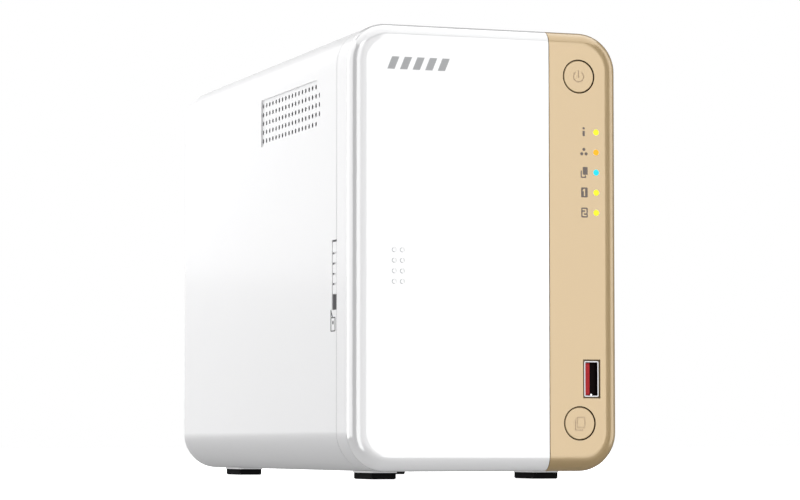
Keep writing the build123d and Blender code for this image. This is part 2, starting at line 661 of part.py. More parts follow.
RESET_Z, HDMI_Z, *REAR_USB_Z, JACK_TOP_Z, JACK_LOW_Z, DC_Z = socket_column()
JACK_Z = (JACK_TOP_Z, JACK_LOW_Z)


def network_jack(z):
    """Shielded 8-way modular jack."""
    x0 = IO_X - JACK_H
    y0 = IO_Y - JACK_L
    body = block(x0, IO_X, y0, IO_Y, z - JACK_W / 2, z + JACK_W / 2)
    x1 = x0 + JACK_LIP
    x2 = x1 + JACK_MOUTH_H
    y1 = IO_Y - JACK_MOUTH_L
    cavity = block(x1, x2, y1, IO_Y + 1, z - JACK_MOUTH_W / 2, z + JACK_MOUTH_W / 2)
    latch = block(x2 - 0.1, x2 + JACK_LATCH_H - 0.1, y1, IO_Y + 1,
                  z - JACK_LATCH_W / 2, z + JACK_LATCH_W / 2)
    return cut(body, [cavity, latch])


def jack_contacts(z):
    """Eight slanted spring wires inside a jack."""
    x0 = IO_X - JACK_H + JACK_LIP
    wires = []
    for i in range(JACK_WIRES):
        wz = z + JACK_WIRE_PITCH * (i - (JACK_WIRES - 1) / 2)
        wires.append(block(x0, x0 + 0.4, IO_Y - 12, IO_Y - 3.5, wz - 0.2, wz + 0.2))
    return wires


def hdmi_port():
    """Folded steel shell of a display socket, upright."""
    x1 = IO_X
    x0 = x1 - HDMI_H
    shell = block(x0, x1, IO_Y - HDMI_L, IO_Y, HDMI_Z - HDMI_W / 2, HDMI_Z + HDMI_W / 2)
    half = HDMI_W / 2 - SHELL_SHEET
    cavity = block(x0 + SHELL_SHEET, x1 - SHELL_SHEET, IO_Y - HDMI_L + 1, IO_Y + 1,
                   HDMI_Z - half, HDMI_Z + half)
    return shell - cavity


def hdmi_tongue():
    """Plastic tongue inside the display socket."""
    x1 = IO_X
    return block(x1 - 2.6, x1 - 1.4, IO_Y - HDMI_L + 1, IO_Y - 1, HDMI_Z - 5.5, HDMI_Z + 5.5)


def dc_inlet():
    """Power inlet: moulded body with a round bore."""
    x = IO_X - DC_BODY / 2
    body = block(IO_X - DC_BODY, IO_X, IO_Y - DC_BODY_L, IO_Y,
                 DC_Z - DC_BODY / 2, DC_Z + DC_BODY / 2)
    return body - rod(x, DC_Z, DC_BORE, IO_Y - DC_BODY_L + 3, IO_Y + 1)


def dc_pin():
    """Centre pin of the power inlet."""
    x = IO_X - DC_BODY / 2
    pin = rod(x, DC_Z, DC_PIN, IO_Y - DC_BODY_L + 3, IO_Y - 1.2)
    return fillet(pin.edges().group_by(Axis.Y)[-1], 0.6)


def rear_panel():
    """Sheet steel rear wall with the fan's grille and the sockets' cut-outs."""
    panel = tube_prism(SLEEVE_WALL + FIT_GAP, PANEL_Y0, PANEL_Y1)
    tools = []
    pitch = GRILLE_PITCH
    reach = FAN_SIZE / 2 - 3.0
    rows = int(reach / (pitch * math.sqrt(3) / 2))
    for row in range(-rows, rows + 1):
        z = row * pitch * math.sqrt(3) / 2
        count = int(reach / pitch)
        shift = pitch / 2 if row % 2 else 0
        for i in range(-count - 1, count + 1):
            x = i * pitch + shift
            if math.hypot(x, z) < reach - 1:
                tools.append(rod(FAN_X + x, FAN_Z + z, GRILLE_HOLE_D, PANEL_Y0 - 1, PANEL_Y1 + 1))
    gap = FIT_GAP
    tools += [block(REAR_USB_X - USB_W / 2 - gap, REAR_USB_X + USB_W / 2 + gap, PANEL_Y0 - 1,
                    PANEL_Y1 + 1, z - USB_H / 2 - gap, z + USB_H / 2 + gap) for z in REAR_USB_Z]
    tools += [block(IO_X - JACK_H - gap, IO_X + gap, PANEL_Y0 - 1, PANEL_Y1 + 1,
                    z - JACK_W / 2 - gap, z + JACK_W / 2 + gap) for z in JACK_Z]
    tools.append(block(IO_X - HDMI_H - gap, IO_X + gap, PANEL_Y0 - 1, PANEL_Y1 + 1,
                       HDMI_Z - HDMI_W / 2 - gap, HDMI_Z + HDMI_W / 2 + gap))
    tools.append(block(IO_X - DC_BODY - gap, IO_X + gap, PANEL_Y0 - 1, PANEL_Y1 + 1,
                       DC_Z - DC_BODY / 2 - gap, DC_Z + DC_BODY / 2 + gap))
    tools.append(rod(RESET_X, RESET_Z, RESET_D + 2 * RUN_GAP, PANEL_Y0 - 1, PANEL_Y1 + 1))
    tools.append(lock_opening(PANEL_Y0 - 1, PANEL_Y1 + 1))
    tools += [rod(x, z, SCREW_D + 0.4, PANEL_Y0 - 1, PANEL_Y1 + 1)
              for x, z in fan_screw_places() + panel_fixing_places()]
    slot_z = SHELL_Z0 + 33.0
    while slot_z < FAN_Z - FAN_SIZE / 2 - 5:
        tools.append(block(FAN_X - AIR_SLOT_L / 2, FAN_X + AIR_SLOT_L / 2, PANEL_Y0 - 1, PANEL_Y1 + 1,
                           slot_z, slot_z + AIR_SLOT_H))
        slot_z += AIR_SLOT_PITCH
    return cut(panel, tools)


def panel_fixing_places():
    """Two places beside the left wall and one above the floor."""
    x = -INNER_X + 6.5
    return [(x, SHELL_Z1 - 19.5), (x, SHELL_Z0 + 29.5), (WINDOW_X1, FLOOR_Z + 9.0)]


def lock_opening(y0, y1):
    """Space of the cable lock's slot."""
    return block(SECURITY_X - LOCK_SLOT_W / 2, SECURITY_X + LOCK_SLOT_W / 2, y0, y1,
                 SECURITY_Z - LOCK_SLOT_H / 2, SECURITY_Z + LOCK_SLOT_H / 2)


def security_bracket():
    """Thick steel plate behind the lock slot."""
    plate = block(SECURITY_X - 6, SECURITY_X + 6, PANEL_Y0 - 2.0, PANEL_Y0,
                  SECURITY_Z - 7, SECURITY_Z + 7)
    return plate - lock_opening(PANEL_Y0 - 3, PANEL_Y0 + 1)


def reset_button():
    """Small push button reached from the rear."""
    tip = rod(RESET_X, RESET_Z, RESET_D, PANEL_Y0 - RESET_STEM, PANEL_Y1 - 0.3)
    flange = rod(RESET_X, RESET_Z, RESET_FLANGE_D, PANEL_Y0 - 1.4, PANEL_Y0 - RUN_GAP)
    return tip + flange


def reset_switch():
    """Switch on the main board that the reset button presses."""
    y1 = PANEL_Y0 - RESET_STEM - 1.0
    half = RESET_SWITCH_H / 2
    return block(RESET_X - 3, IO_X, y1 - 5, y1, RESET_Z - half, RESET_Z + half)


# ---------------------------------------------------------------- chassis and cage
def chassis():
    """Folded sheet: floor, a slanted corner and the upright that carries the main board."""
    z0 = FLOOR_Z
    x1 = CARRIER_X
    x_low = SIDE_X - CORNER_R
    z_bend = SHELL_Z0 + CORNER_R
    top = BOARD_Z1 - 1.5
    t = SHEET
    k = t * (math.sqrt(2) - 1)
    outline = [(-x_low, z0), (x_low - 0.4, z0), (x1, z_bend), (x1, top), (x1 - t, top),
               (x1 - t, z_bend + k), (x_low - 0.4 - k, z0 + t), (-x_low, z0 + t)]
    sheet = prism_xz(outline, CAGE_Y0, PANEL_Y0 - 0.2)
    tools = [rod_z(x, y, FOOT_STEM_D + 3, z0 - 1, z0 + 3) for x, y in foot_places()]
    tools += [rod_x(y, z, SCREW_D - 0.5, x1 - 5, x1 + 1) for y, z in board_screw_places()]
    return cut(sheet, tools)


def cage_brackets():
    """Two hat sections that lift the drive cage off the floor."""
    z0 = FLOOR_Z + SHEET
    made = []
    for y in BRACKET_Y:
        top = CAGE_Z0
        x0, x1 = BAY_CENTRE_X - 17.0, BAY_CENTRE_X + 27.0
        t = SHEET
        far0, far1 = x0 - BRACKET_H, x1 + BRACKET_H
        outline = [(far0, z0), (x0, z0), (x0, top - t), (x1, top - t), (x1, z0),
                   (far1, z0), (far1, z0 + t), (x1 + t, z0 + t), (x1 + t, top),
                   (x0 - t, top), (x0 - t, z0 + t), (far0, z0 + t)]
        half = BRACKET_W / 2
        made.append(cut(prism_xz(outline, y - half, y + half), cage_screw_holes(y)))
    return group(made)


def cage_screw_holes(y):
    return [rod_z(x, y, SCREW_D, CAGE_Z0 - 3, CAGE_Z0 + 3) for x in cage_screw_columns()]


def cage_screw_columns():
    """Either side of the cage's middle wall, between the trays' guides."""
    return BAY_CENTRE_X - 6.0, BAY_CENTRE_X + 6.0


def drive_cage():
    """Sheet steel cage of five plates: floor, roof, two sides and a middle wall."""
    span = (CAGE_Y1 - CAGE_Y0 - 30) / 3
    slots = []
    for i in range(3):
        y0 = CAGE_Y0 + 10 + i * (span + 5)
        for z0 in (MID_Z - 42, MID_Z + 6):
            slot = block(CAGE_X0 - 1, CAGE_X1 + 1, y0, y0 + span, z0, z0 + 36)
            slots.append(fillet(slot.edges().filter_by(Axis.X), 5))
    floor = block(CAGE_X0, CAGE_X1, CAGE_Y0, CAGE_Y1, CAGE_Z0, CAGE_Z0 + SHEET)
    roof = block(CAGE_X0, CAGE_X1, CAGE_Y0, CAGE_Y1, CAGE_Z1 - SHEET, CAGE_Z1)
    holes = [hole for y in BRACKET_Y for hole in cage_screw_holes(y)]
    plates = [cut(floor, holes), roof]
    for x0 in (CAGE_X0, BAY_CENTRE_X - SHEET / 2, CAGE_X1 - SHEET):
        wall = block(x0, x0 + SHEET, CAGE_Y0, CAGE_Y1, CAGE_Z0 + SHEET, CAGE_Z1 - SHEET)
        plates.append(cut(wall, slots))
    return group(plates)


def tray_guides():
    """Plastic channels on the cage's floor and roof that the trays' ridges run in."""
    made = []
    for x in BAY_X:
        for z0, z1 in ((CAGE_Z0 + SHEET, CAGE_Z0 + SHEET + GUIDE_T),
                       (CAGE_Z1 - SHEET - GUIDE_T, CAGE_Z1 - SHEET)):
            strip = block(x - GUIDE_W / 2, x + GUIDE_W / 2, CAGE_Y0 + 1, CAGE_Y1 - 6, z0, z1)
            inner = z1 - KEY_H - 2 * RUN_GAP if z0 < MID_Z else z0 - 1
            outer = z1 + 1 if z0 < MID_Z else z0 + KEY_H + 2 * RUN_GAP
            half = KEY_W / 2 + RUN_GAP
            made.append(strip - block(x - half, x + half, CAGE_Y0, CAGE_Y1, inner, outer))
    return group(made)


def cage_screws():
    """Screws through the cage's floor into its brackets."""
    z = CAGE_Z0 + SHEET
    return group([screw(x, y, z, (0, 0, 1), 4.0) for y in BRACKET_Y for x in cage_screw_columns()])


# ---------------------------------------------------------------- trays
def tray_face(x):
    """Front plate of a tray with vent slots and the lever's pocket."""
    z0 = MID_Z - TRAY_FACE_H / 2
    z1 = MID_Z + TRAY_FACE_H / 2
    face = block(x - TRAY_FACE_W / 2, x + TRAY_FACE_W / 2, TRAY_Y, TRAY_BODY_Y, z0, z1)
    face = fillet(face.edges().group_by(Axis.Y)[0], 0.8)
    tools = []
    slot_w = TRAY_FACE_W - 10
    for i in range(TRAY_SLOTS):
        rise = 8 + TRAY_SLOT_PITCH * i
        for zc in (z0 + rise, z1 - rise):
            tools.append(block(x - slot_w / 2, x + slot_w / 2, TRAY_Y - 1, TRAY_BODY_Y + 1,
                               zc - TRAY_SLOT_H / 2, zc + TRAY_SLOT_H / 2))
    tools.append(lever_pocket(x))
    tools.append(lever_pin(x))
    return cut(face, tools)


def lever_pocket(x):
    """Space in a tray's front that the lever lies in and turns through."""
    half = LEVER_W / 2 + LEVER_SIDE_GAP
    z1 = LEVER_TOP_Z + LEVER_HEEL_R + 0.6
    z0 = LEVER_TOP_Z - LEVER_H - 9.0
    pocket = block(x - half, x + half, TRAY_Y - 1, TRAY_BODY_Y - 0.9, z0, z1)
    heel = block(x - half, x + half, TRAY_Y - 1, TRAY_BODY_Y + 1,
                 LEVER_TOP_Z - LEVER_HEEL_R - 1.2, z1)
    return pocket + heel


def drive_tray(x):
    """Tray: front plate, side plate with windows, and two rails with ridges."""
    x0 = x - TRAY_BODY_W / 2
    z0 = MID_Z - TRAY_BODY_H / 2
    z1 = MID_Z + TRAY_BODY_H / 2
    y0 = TRAY_BODY_Y
    plate = block(x0, x0 + TRAY_WALL, y0, TRAY_END_Y, z0 + TRAY_RAIL, z1 - TRAY_RAIL)
    span = (TRAY_END_Y - y0 - 40) / 3
    windows = []
    for i in range(3):
        wy = y0 + 12 + i * (span + 8)
        hole = block(x0 - 1, x0 + TRAY_WALL + 1, wy, wy + span, MID_Z - 34, MID_Z + 34)
        windows.append(fillet(hole.edges().filter_by(Axis.X), 4))
    low = block(x0, x0 + TRAY_BODY_W, y0, TRAY_END_Y, z0, z0 + TRAY_RAIL)
    high = block(x0, x0 + TRAY_BODY_W, y0, TRAY_END_Y, z1 - TRAY_RAIL, z1)
    key_y0 = CAGE_Y0 + 3
    key_low = block(x - KEY_W / 2, x + KEY_W / 2, key_y0, TRAY_END_Y - 4, z0 - KEY_H, z0)
    key_high = block(x - KEY_W / 2, x + KEY_W / 2, key_y0, TRAY_END_Y - 4, z1, z1 + KEY_H)
    return group([tray_face(x), cut(plate, windows), low + key_low, high + key_high])


def tray_lever(x):
    """Swing-out handle hung on a pin at its top."""
    x0, x1 = x - LEVER_W / 2, x + LEVER_W / 2
    y0 = LEVER_PIN_Y - LEVER_T + 0.6
    y1 = LEVER_PIN_Y + 0.6
    bar = block(x0, x1, y0, y1, LEVER_TOP_Z - LEVER_H, LEVER_TOP_Z)
    bar = fillet(bar.edges().filter_by(Axis.X).group_by(Axis.Y)[0].group_by(Axis.Z)[0], 1.2)
    knuckle = rod_x(LEVER_PIN_Y, LEVER_TOP_Z, 2 * LEVER_HEEL_R, x0, x1)
    grip = block(x0 + 3, x1 - 3, y0 - 1, y0 + 1.6, LEVER_TOP_Z - LEVER_H + 5,
                 LEVER_TOP_Z - LEVER_H + 17)
    bore = rod_x(LEVER_PIN_Y, LEVER_TOP_Z, LEVER_PIN_D + 2 * PIN_FIT, x0 - 1, x1 + 1)
    return cut(bar + knuckle, [grip, bore])


def lever_pin(x):
    """Steel pin fixed in the tray."""
    reach = LEVER_W / 2 + LEVER_PIN_REACH
    return rod_x(LEVER_PIN_Y, LEVER_TOP_Z, LEVER_PIN_D, x - reach, x + reach)


# ---------------------------------------------------------------- boards
def backplane():
    """Board across the cage's rear, with air holes."""
    board = block(CAGE_X0 + 2, BOARD_X0 - 0.6, BACKPLANE_Y, BACKPLANE_Y + BOARD_T,
                  CAGE_Z0 + 2, CAGE_Z1 - 2)
    tools = []
    for x in BAY_X:
        hole = block(x - 12, x + 12, BACKPLANE_Y - 1, BACKPLANE_Y + BOARD_T + 1,
                     MID_Z - 6, MID_Z + 48)
        tools.append(fillet(hole.edges().filter_by(Axis.Y), 4))
    return cut(board, tools)


def drive_connector(x):
    """Combined data and power socket for one drive."""
    zc = MID_Z - 30.0
    x0 = x - 6.0
    body = block(x0, x0 + 5.6, BACKPLANE_Y - 5.0, BACKPLANE_Y, zc - 21, zc + 21)
    slots = [block(x0 + 1.6, x0 + 4.0, BACKPLANE_Y - 6, BACKPLANE_Y - 1, zc - 19, zc - 7),
             block(x0 + 1.6, x0 + 4.0, BACKPLANE_Y - 6, BACKPLANE_Y - 1, zc - 5, zc + 19)]
    return cut(body, slots)


def board_link():
    """Edge connector that joins the backplane to the main board."""
    y = BACKPLANE_Y + BOARD_T
    return block(BOARD_X0 - 9.0, BOARD_X0, y, y + 6.0, MID_Z - 45, MID_Z + 5)


def board_screw_places():
    ys = (BOARD_Y0 + 6, BACKPLANE_Y + 14)
    return [(y, z) for y in ys for z in (BOARD_Z0 + 8, BOARD_Z1 - 8)]


def main_board():
    """Upright main board."""
    board = block(BOARD_X0, BOARD_X1, BOARD_Y0, BOARD_Y1, BOARD_Z0, BOARD_Z1)
    tools = [rod_x(y, z, SCREW_D + 0.3, BOARD_X0 - 1, BOARD_X1 + 1)
             for y, z in board_screw_places()]
    return cut(board, tools)


def board_standoffs():
    """Threaded pillars between the chassis and the main board."""
    return group([rod_x(y, z, 6.0, BOARD_X1, BOARD_X1 + STANDOFF_H)
                  - rod_x(y, z, SCREW_D, BOARD_X1 - 1, BOARD_X1 + STANDOFF_H + 1)
                  for y, z in board_screw_places()])


def board_screws():
    main = [screw(BOARD_X0, y, z, (-1, 0, 0), 4.0) for y, z in board_screw_places()]
    back = FRONT_BOARD_Y + BOARD_T
    return group(main + [screw(x, back, z, (0, 1, 0), 4.0) for x, z in front_board_screws()])


def heat_sink():
    """Finned aluminium block on the processor."""
    z0 = MID_Z - 4
    x1 = BOARD_X0 - CHIP_T
    base = block(x1 - 3, x1, SINK_Y0, SINK_Y0 + SINK_L, z0, z0 + SINK_L)
    fins = []
    step = (SINK_L - FIN_T) / (SINK_FINS - 1)
    for i in range(SINK_FINS):
        z = z0 + step * i
        fins.append(block(x1 - 2 - SINK_H, x1 - 2.5, SINK_Y0, SINK_Y0 + SINK_L, z, z + FIN_T))
    return base + fins


def processor():
    """Processor package between the heat sink and the board."""
    y0 = SINK_Y0 + (SINK_L - CHIP_W) / 2
    return block(BOARD_X0 - CHIP_T, BOARD_X0, y0, y0 + CHIP_W, MID_Z + 10, MID_Z + 10 + CHIP_W)


def memory_socket():
    """Socket for the memory module."""
    z0 = BOARD_Z0 + 8
    x0 = BOARD_X0 - 5.2
    body = block(x0, BOARD_X0, -26.0, 46.0, z0, z0 + 6)
    arms = [block(x0, BOARD_X0, y, y + 2.0, z0 + 6, z0 + 28) for y in (-26.0, 44.0)]
    return body + arms - block(x0 + 2.6, x0 + 2.6 + 1.4, -23.9, 43.9, z0 + 3, z0 + 40)


def memory_module():
    """Small outline memory module."""
    z0 = BOARD_Z0 + 11
    x0 = BOARD_X0 - 2.5
    card = block(x0, x0 + 1.2, -23.8, 43.8, z0, z0 + 30)
    chips = [block(x0 - 0.9, x0, -21 + 16.4 * i, -21 + 16.4 * i + 11, z0 + 12, z0 + 21)
             for i in range(4)]
    return card + chips


def coin_cell_holder():
    """Spring clip holder of the clock's battery."""
    y, z = BACKPLANE_Y + 22.0, MID_Z + 34
    ring = rod_x(y, z, COIN_D + 3.6, BOARD_X0 - 3.0, BOARD_X0)
    return ring - rod_x(y, z, COIN_D + 0.2, BOARD_X0 - 4.0, BOARD_X0 - 0.6)


def coin_cell():
    """Clock battery."""
    y, z = BACKPLANE_Y + 22.0, MID_Z + 34
    cell = rod_x(y, z, COIN_D, BOARD_X0 - 0.6 - COIN_H, BOARD_X0 - 0.6)
    return chamfer(cell.edges(), 0.4)


def buzzer():
    """Round sounder on the main board."""
    y, z = -46.0, MID_Z - 6
    body = rod_x(y, z, 12.0, BOARD_X0 - 8.0, BOARD_X0)
    return body - rod_x(y, z, 2.2, BOARD_X0 - 9.0, BOARD_X0 - 5.0)


# ---------------------------------------------------------------- fan
def fan_screw_places():
    half = FAN_SIZE / 2 - FAN_HOLE_INSET
    return [(FAN_X + sx * half, FAN_Z + sz * half) for sx in (-1, 1) for sz in (-1, 1)]


def fan_frame():
    """Square frame with the motor's seat on three arms at its rear."""
    half = FAN_SIZE / 2
    frame = block(FAN_X - half, FAN_X + half, FAN_Y0, FAN_Y1, FAN_Z - half, FAN_Z + half)
    frame = fillet(frame.edges().filter_by(Axis.Y), 4.0)
    frame -= rod(FAN_X, FAN_Z, FAN_BORE, FAN_Y0 - 1, FAN_Y1 + 1)
    seat = rod(FAN_X, FAN_Z, HUB_D - 1, FAN_Y1 - 3.0, FAN_Y1)
    arms = []
    for angle in (35, 155, 275):
        arm = Pos(HUB_D / 2 + (FAN_BORE - HUB_D) / 4, 0, 0) * Box(FAN_BORE / 2 - HUB_D / 2 + 3, 2.4, 4.0)
        arms.append(Pos(FAN_X, FAN_Y1 - 1.2, FAN_Z) * Rot(0, angle, 0) * arm)
    clip = rod(FAN_X, FAN_Z, FAN_SIZE - 1.0, FAN_Y0, FAN_Y1)
    arms = [arm & clip for arm in arms]
    bearing = rod(FAN_X, FAN_Z, 7.0, FAN_Y0 + 4.0, FAN_Y1 - 2.0)
    bore = rod(FAN_X, FAN_Z, SHAFT_D + 2 * SHAFT_FIT, FAN_Y0 + 3.0, FAN_Y1 - 1.0)
    tools = [bore] + [rod(x, z, 4.2, FAN_Y0 - 1, FAN_Y1 + 1) for x, z in fan_screw_places()]
    return cut(frame + seat + arms + bearing, tools)


def fan_rotor():
    """Hub, shaft and seven swept blades."""
    y0 = FAN_Y0 + 1.0
    y1 = FAN_Y1 - 3.6
    cup = rod(FAN_X, FAN_Z, HUB_D, y0, y1)
    cup = fillet(cup.edges().group_by(Axis.Y)[0], 1.2)
    cup -= rod(FAN_X, FAN_Z, HUB_D - 4.0, y0 + 2.0, y1 + 1)
    shaft = rod(FAN_X, FAN_Z, SHAFT_D, y0 + 1.0, FAN_Y1 - 1.4)
    tip_r = FAN_BORE / 2 - FAN_TIP_GAP
    ring = rod(FAN_X, FAN_Z, 2 * tip_r, y0, y1) - rod(FAN_X, FAN_Z, HUB_D - 1.0, y0 - 1, y1 + 1)
    blades = []
    for i in range(BLADES):
        length = tip_r - HUB_D / 2 + 4
        blade = Pos(HUB_D / 2 - 2 + length / 2, 0, 0) * Rot(BLADE_ANGLE, 0, 0) * Box(length, BLADE_T, 24.0)
        turned = Pos(FAN_X, (y0 + y1) / 2, FAN_Z) * Rot(0, 360.0 / BLADES * i, 0) * blade
        blades.append(turned & ring)
    return cup + shaft + blades


def fan_screws():
    return group([screw(x, PANEL_Y1, z, (0, 1, 0), 8.0) for x, z in fan_screw_places()])


def panel_screws():
    return group([screw(x, PANEL_Y1, z, (0, 1, 0), 5.0) for x, z in panel_fixing_places()])


def fixing_blocks():
    """Threaded blocks inside the sleeve that the rear panel's screws bite in."""
    made = []
    for i, (x, z) in enumerate(panel_fixing_places()):
        x0 = -INNER_X if i < 2 else x - 4
        z0 = z - 4 if i < 2 else FLOOR_Z + SHEET
        lump = block(x0, x + 4, PANEL_Y0 - 8, PANEL_Y0, z0, z + 4)
        made.append(lump - rod(x, z, SCREW_D, PANEL_Y0 - 7, PANEL_Y0 + 1))
    return group(made)


def cable_along(points, diameter):
    """Round lead of straight runs joined by arcs."""
    radii = []
    for a, b, c in zip(points, points[1:], points[2:]):
        u = Vector(*b) - Vector(*a)
        v = Vector(*c) - Vector(*b)
        turn = math.radians(u.get_angle(v))
        radii.append(0.45 * min(u.length, v.length) / math.tan(turn / 2))
    path = FilletPolyline(*points, radius=radii)
    start = Vector(*points[0])
    plane = Plane(origin=start, z_dir=Vector(*points[1]) - start)
    return sweep(plane * Circle(diameter / 2), path=path)


def fan_lead_points():
    """Route of the fan's lead, from the frame's edge to the main board."""
    x0 = FAN_X + FAN_SIZE / 2
    y = FAN_Y0 + 4.0
    z = REAR_USB_Z[-1] - 4.0
    return [(x0, y, z), (x0 + 5.0, y, z), (x0 + 9.5, y - 4.0, z + 3.0),
            (BOARD_X0 - 8.5, y - 11.0, z + 6.5), (BOARD_X0 - 3.5, y - 11.0, z + 6.5)]


def fan_plug():
    """Small plug and header at the end of the fan's lead."""
    x, y, z = fan_lead_points()[-1]
    return block(x, BOARD_X0, y - 3.0, y + 3.0, z - 3.5, z + 3.5)


def build_all():
    """Makes every node."""
    node("outer_sleeve", outer_sleeve())
    node("front_bezel", front_bezel())
    node("accent_panel", accent_panel())
    node("front_cover", front_cover())
    node("lock_slider", lock_slider())
    node("power_button", button(POWER_Z))
    node("copy_button", button(COPY_Z))
    node("status_lenses", group([status_lens(z) for z in led_places()]))
    node("status_lamps", lamp_bodies())
    node("front_board", front_board())
    node("front_switches", group([front_switch(POWER_Z), front_switch(COPY_Z)]))
    front_mouth = FRONT_Y + 0.3
    front_end = FRONT_BOARD_Y
    node("front_usb_shell", usb_shell(USB_X, USB_Z, front_mouth, front_end))
    node("front_usb_tongue", usb_tongue(USB_X, USB_Z, front_mouth, front_end, -1))
    node("front_usb_contacts", group(usb_contacts(USB_X, USB_Z, front_mouth, front_end, -1)))
    node("foot_bases", group([foot_base(x, y) for x, y in foot_places()]))
    node("foot_pads", group([foot_pad(x, y) for x, y in foot_places()]))
    node("chassis", chassis())
    node("cage_brackets", cage_brackets())
    node("drive_cage", drive_cage())
    node("tray_guides", tray_guides())
    node("cage_screws", cage_screws())
    for i, x in enumerate(BAY_X, start=1):
        node(f"drive_tray_{i}", drive_tray(x))
        node(f"tray_lever_{i}", tray_lever(x))
        node(f"lever_pin_{i}", lever_pin(x))
    node("backplane", backplane())
    node("drive_connectors", group([drive_connector(x) for x in BAY_X]))
    node("board_link", board_link())
    node("main_board", main_board())
    node("board_standoffs", board_standoffs())
    node("board_screws", board_screws())
    node("processor", processor())
    node("heat_sink", heat_sink())
    node("memory_socket", memory_socket())
    node("memory_module", memory_module())
    node("coin_cell_holder", coin_cell_holder())
    node("coin_cell", coin_cell())
    node("buzzer", buzzer())
    node("rear_panel", rear_panel())
    node("security_bracket", security_bracket())
    node("fixing_blocks", fixing_blocks())
    node("panel_screws", panel_screws())
    node("fan_frame", fan_frame())
    node("fan_rotor", fan_rotor())
    node("fan_screws", fan_screws())
    node("fan_lead", cable_along(fan_lead_points(), FAN_LEAD_D))
    node("fan_plug", fan_plug())
    rear_end = IO_Y - REAR_USB_L
    node("rear_usb_shells", group([usb_shell(REAR_USB_X, z, IO_Y, rear_end) for z in REAR_USB_Z]))
    node("rear_usb_tongues", group([usb_tongue(REAR_USB_X, z, IO_Y, rear_end, 1) for z in REAR_USB_Z]))
    node("network_jacks", group([network_jack(z) for z in JACK_Z]))
    node("jack_contacts", group([wire for z in JACK_Z for wire in jack_contacts(z)]))
    node("hdmi_port", hdmi_port())
    node("hdmi_tongue", hdmi_tongue())
    node("dc_inlet", dc_inlet())
    node("dc_pin", dc_pin())
    node("reset_button", reset_button())
    node("reset_switch", reset_switch())


build_all()
for name, shape in NODES.items():
    export_step(shape, "parts/" + name + ".step")
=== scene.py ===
"""Looks of a two-bay network attached storage unit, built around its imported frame.

Metres, in the frame's axes: +X right seen from the front, the front faces -Y, +Z up.
"""
import math

import bpy
import bmesh
from mathutils import Matrix, Vector


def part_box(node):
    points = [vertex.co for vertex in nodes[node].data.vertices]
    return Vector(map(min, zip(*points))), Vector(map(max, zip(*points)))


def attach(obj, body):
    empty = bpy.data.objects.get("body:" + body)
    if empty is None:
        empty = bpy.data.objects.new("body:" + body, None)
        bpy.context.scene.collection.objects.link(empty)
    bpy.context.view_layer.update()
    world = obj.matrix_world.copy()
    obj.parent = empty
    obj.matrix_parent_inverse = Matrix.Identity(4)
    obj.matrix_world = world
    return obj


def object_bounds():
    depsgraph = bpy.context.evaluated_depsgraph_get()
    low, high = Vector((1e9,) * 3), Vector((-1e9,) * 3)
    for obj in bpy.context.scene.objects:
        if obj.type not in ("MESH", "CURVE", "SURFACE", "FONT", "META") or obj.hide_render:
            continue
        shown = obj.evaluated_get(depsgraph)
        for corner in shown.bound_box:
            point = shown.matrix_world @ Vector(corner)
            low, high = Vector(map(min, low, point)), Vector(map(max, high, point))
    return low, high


MM = 0.001
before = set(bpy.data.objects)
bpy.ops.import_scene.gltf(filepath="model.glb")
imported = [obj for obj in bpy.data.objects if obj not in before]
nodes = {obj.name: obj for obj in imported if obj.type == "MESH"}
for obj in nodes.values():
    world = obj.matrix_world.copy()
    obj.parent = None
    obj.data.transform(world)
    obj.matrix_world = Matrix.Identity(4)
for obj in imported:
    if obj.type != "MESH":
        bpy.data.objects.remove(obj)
cad_low, cad_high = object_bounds()


# ---------------------------------------------------------------- materials
def linear(r, g, b):
    """Linear colour from 0-255 display values."""
    def channel(v):
        v /= 255.0
        return v / 12.92 if v <= 0.04045 else ((v + 0.055) / 1.055) ** 2.4
    return channel(r), channel(g), channel(b), 1.0


def shader(name):
    """New material with its node tree, shader and object coordinates."""
    made = bpy.data.materials.new(name)
    made.use_nodes = True
    tree = made.node_tree
    coords = tree.nodes.new("ShaderNodeTexCoord")
    return made, tree, tree.nodes["Principled BSDF"], coords.outputs["Object"]


def noise(tree, vector, scale, detail=3.0, rough=0.5):
    """Noise texture's value."""
    made = tree.nodes.new("ShaderNodeTexNoise")
    made.inputs["Scale"].default_value = scale
    made.inputs["Detail"].default_value = detail
    made.inputs["Roughness"].default_value = rough
    tree.links.new(vector, made.inputs["Vector"])
    return made.outputs["Fac"]


def remap(tree, value, low, high, out_low, out_high):
    """Value moved from one range to another."""
    made = tree.nodes.new("ShaderNodeMapRange")
    made.inputs["From Min"].default_value = low
    made.inputs["From Max"].default_value = high
    made.inputs["To Min"].default_value = out_low
    made.inputs["To Max"].default_value = out_high
    tree.links.new(value, made.inputs["Value"])
    return made.outputs["Result"]


def mix(tree, factor, first, second):
    """Colour between two others."""
    made = tree.nodes.new("ShaderNodeMix")
    made.data_type = "RGBA"
    tree.links.new(factor, made.inputs["Factor"])
    for colour, socket in ((first, made.inputs["A"]), (second, made.inputs["B"])):
        if isinstance(colour, tuple):
            socket.default_value = colour
        else:
            tree.links.new(colour, socket)
    return made.outputs["Result"]


def add_bump(tree, bsdf, height, strength, distance):
    """Bump from a height value."""
    bump = tree.nodes.new("ShaderNodeBump")
    bump.inputs["Strength"].default_value = strength
    bump.inputs["Distance"].default_value = distance
    tree.links.new(height, bump.inputs["Height"])
    tree.links.new(bump.outputs["Normal"], bsdf.inputs["Normal"])


MOTTLE_SCALE, GLOSS_SCALE = 38.0, 60.0


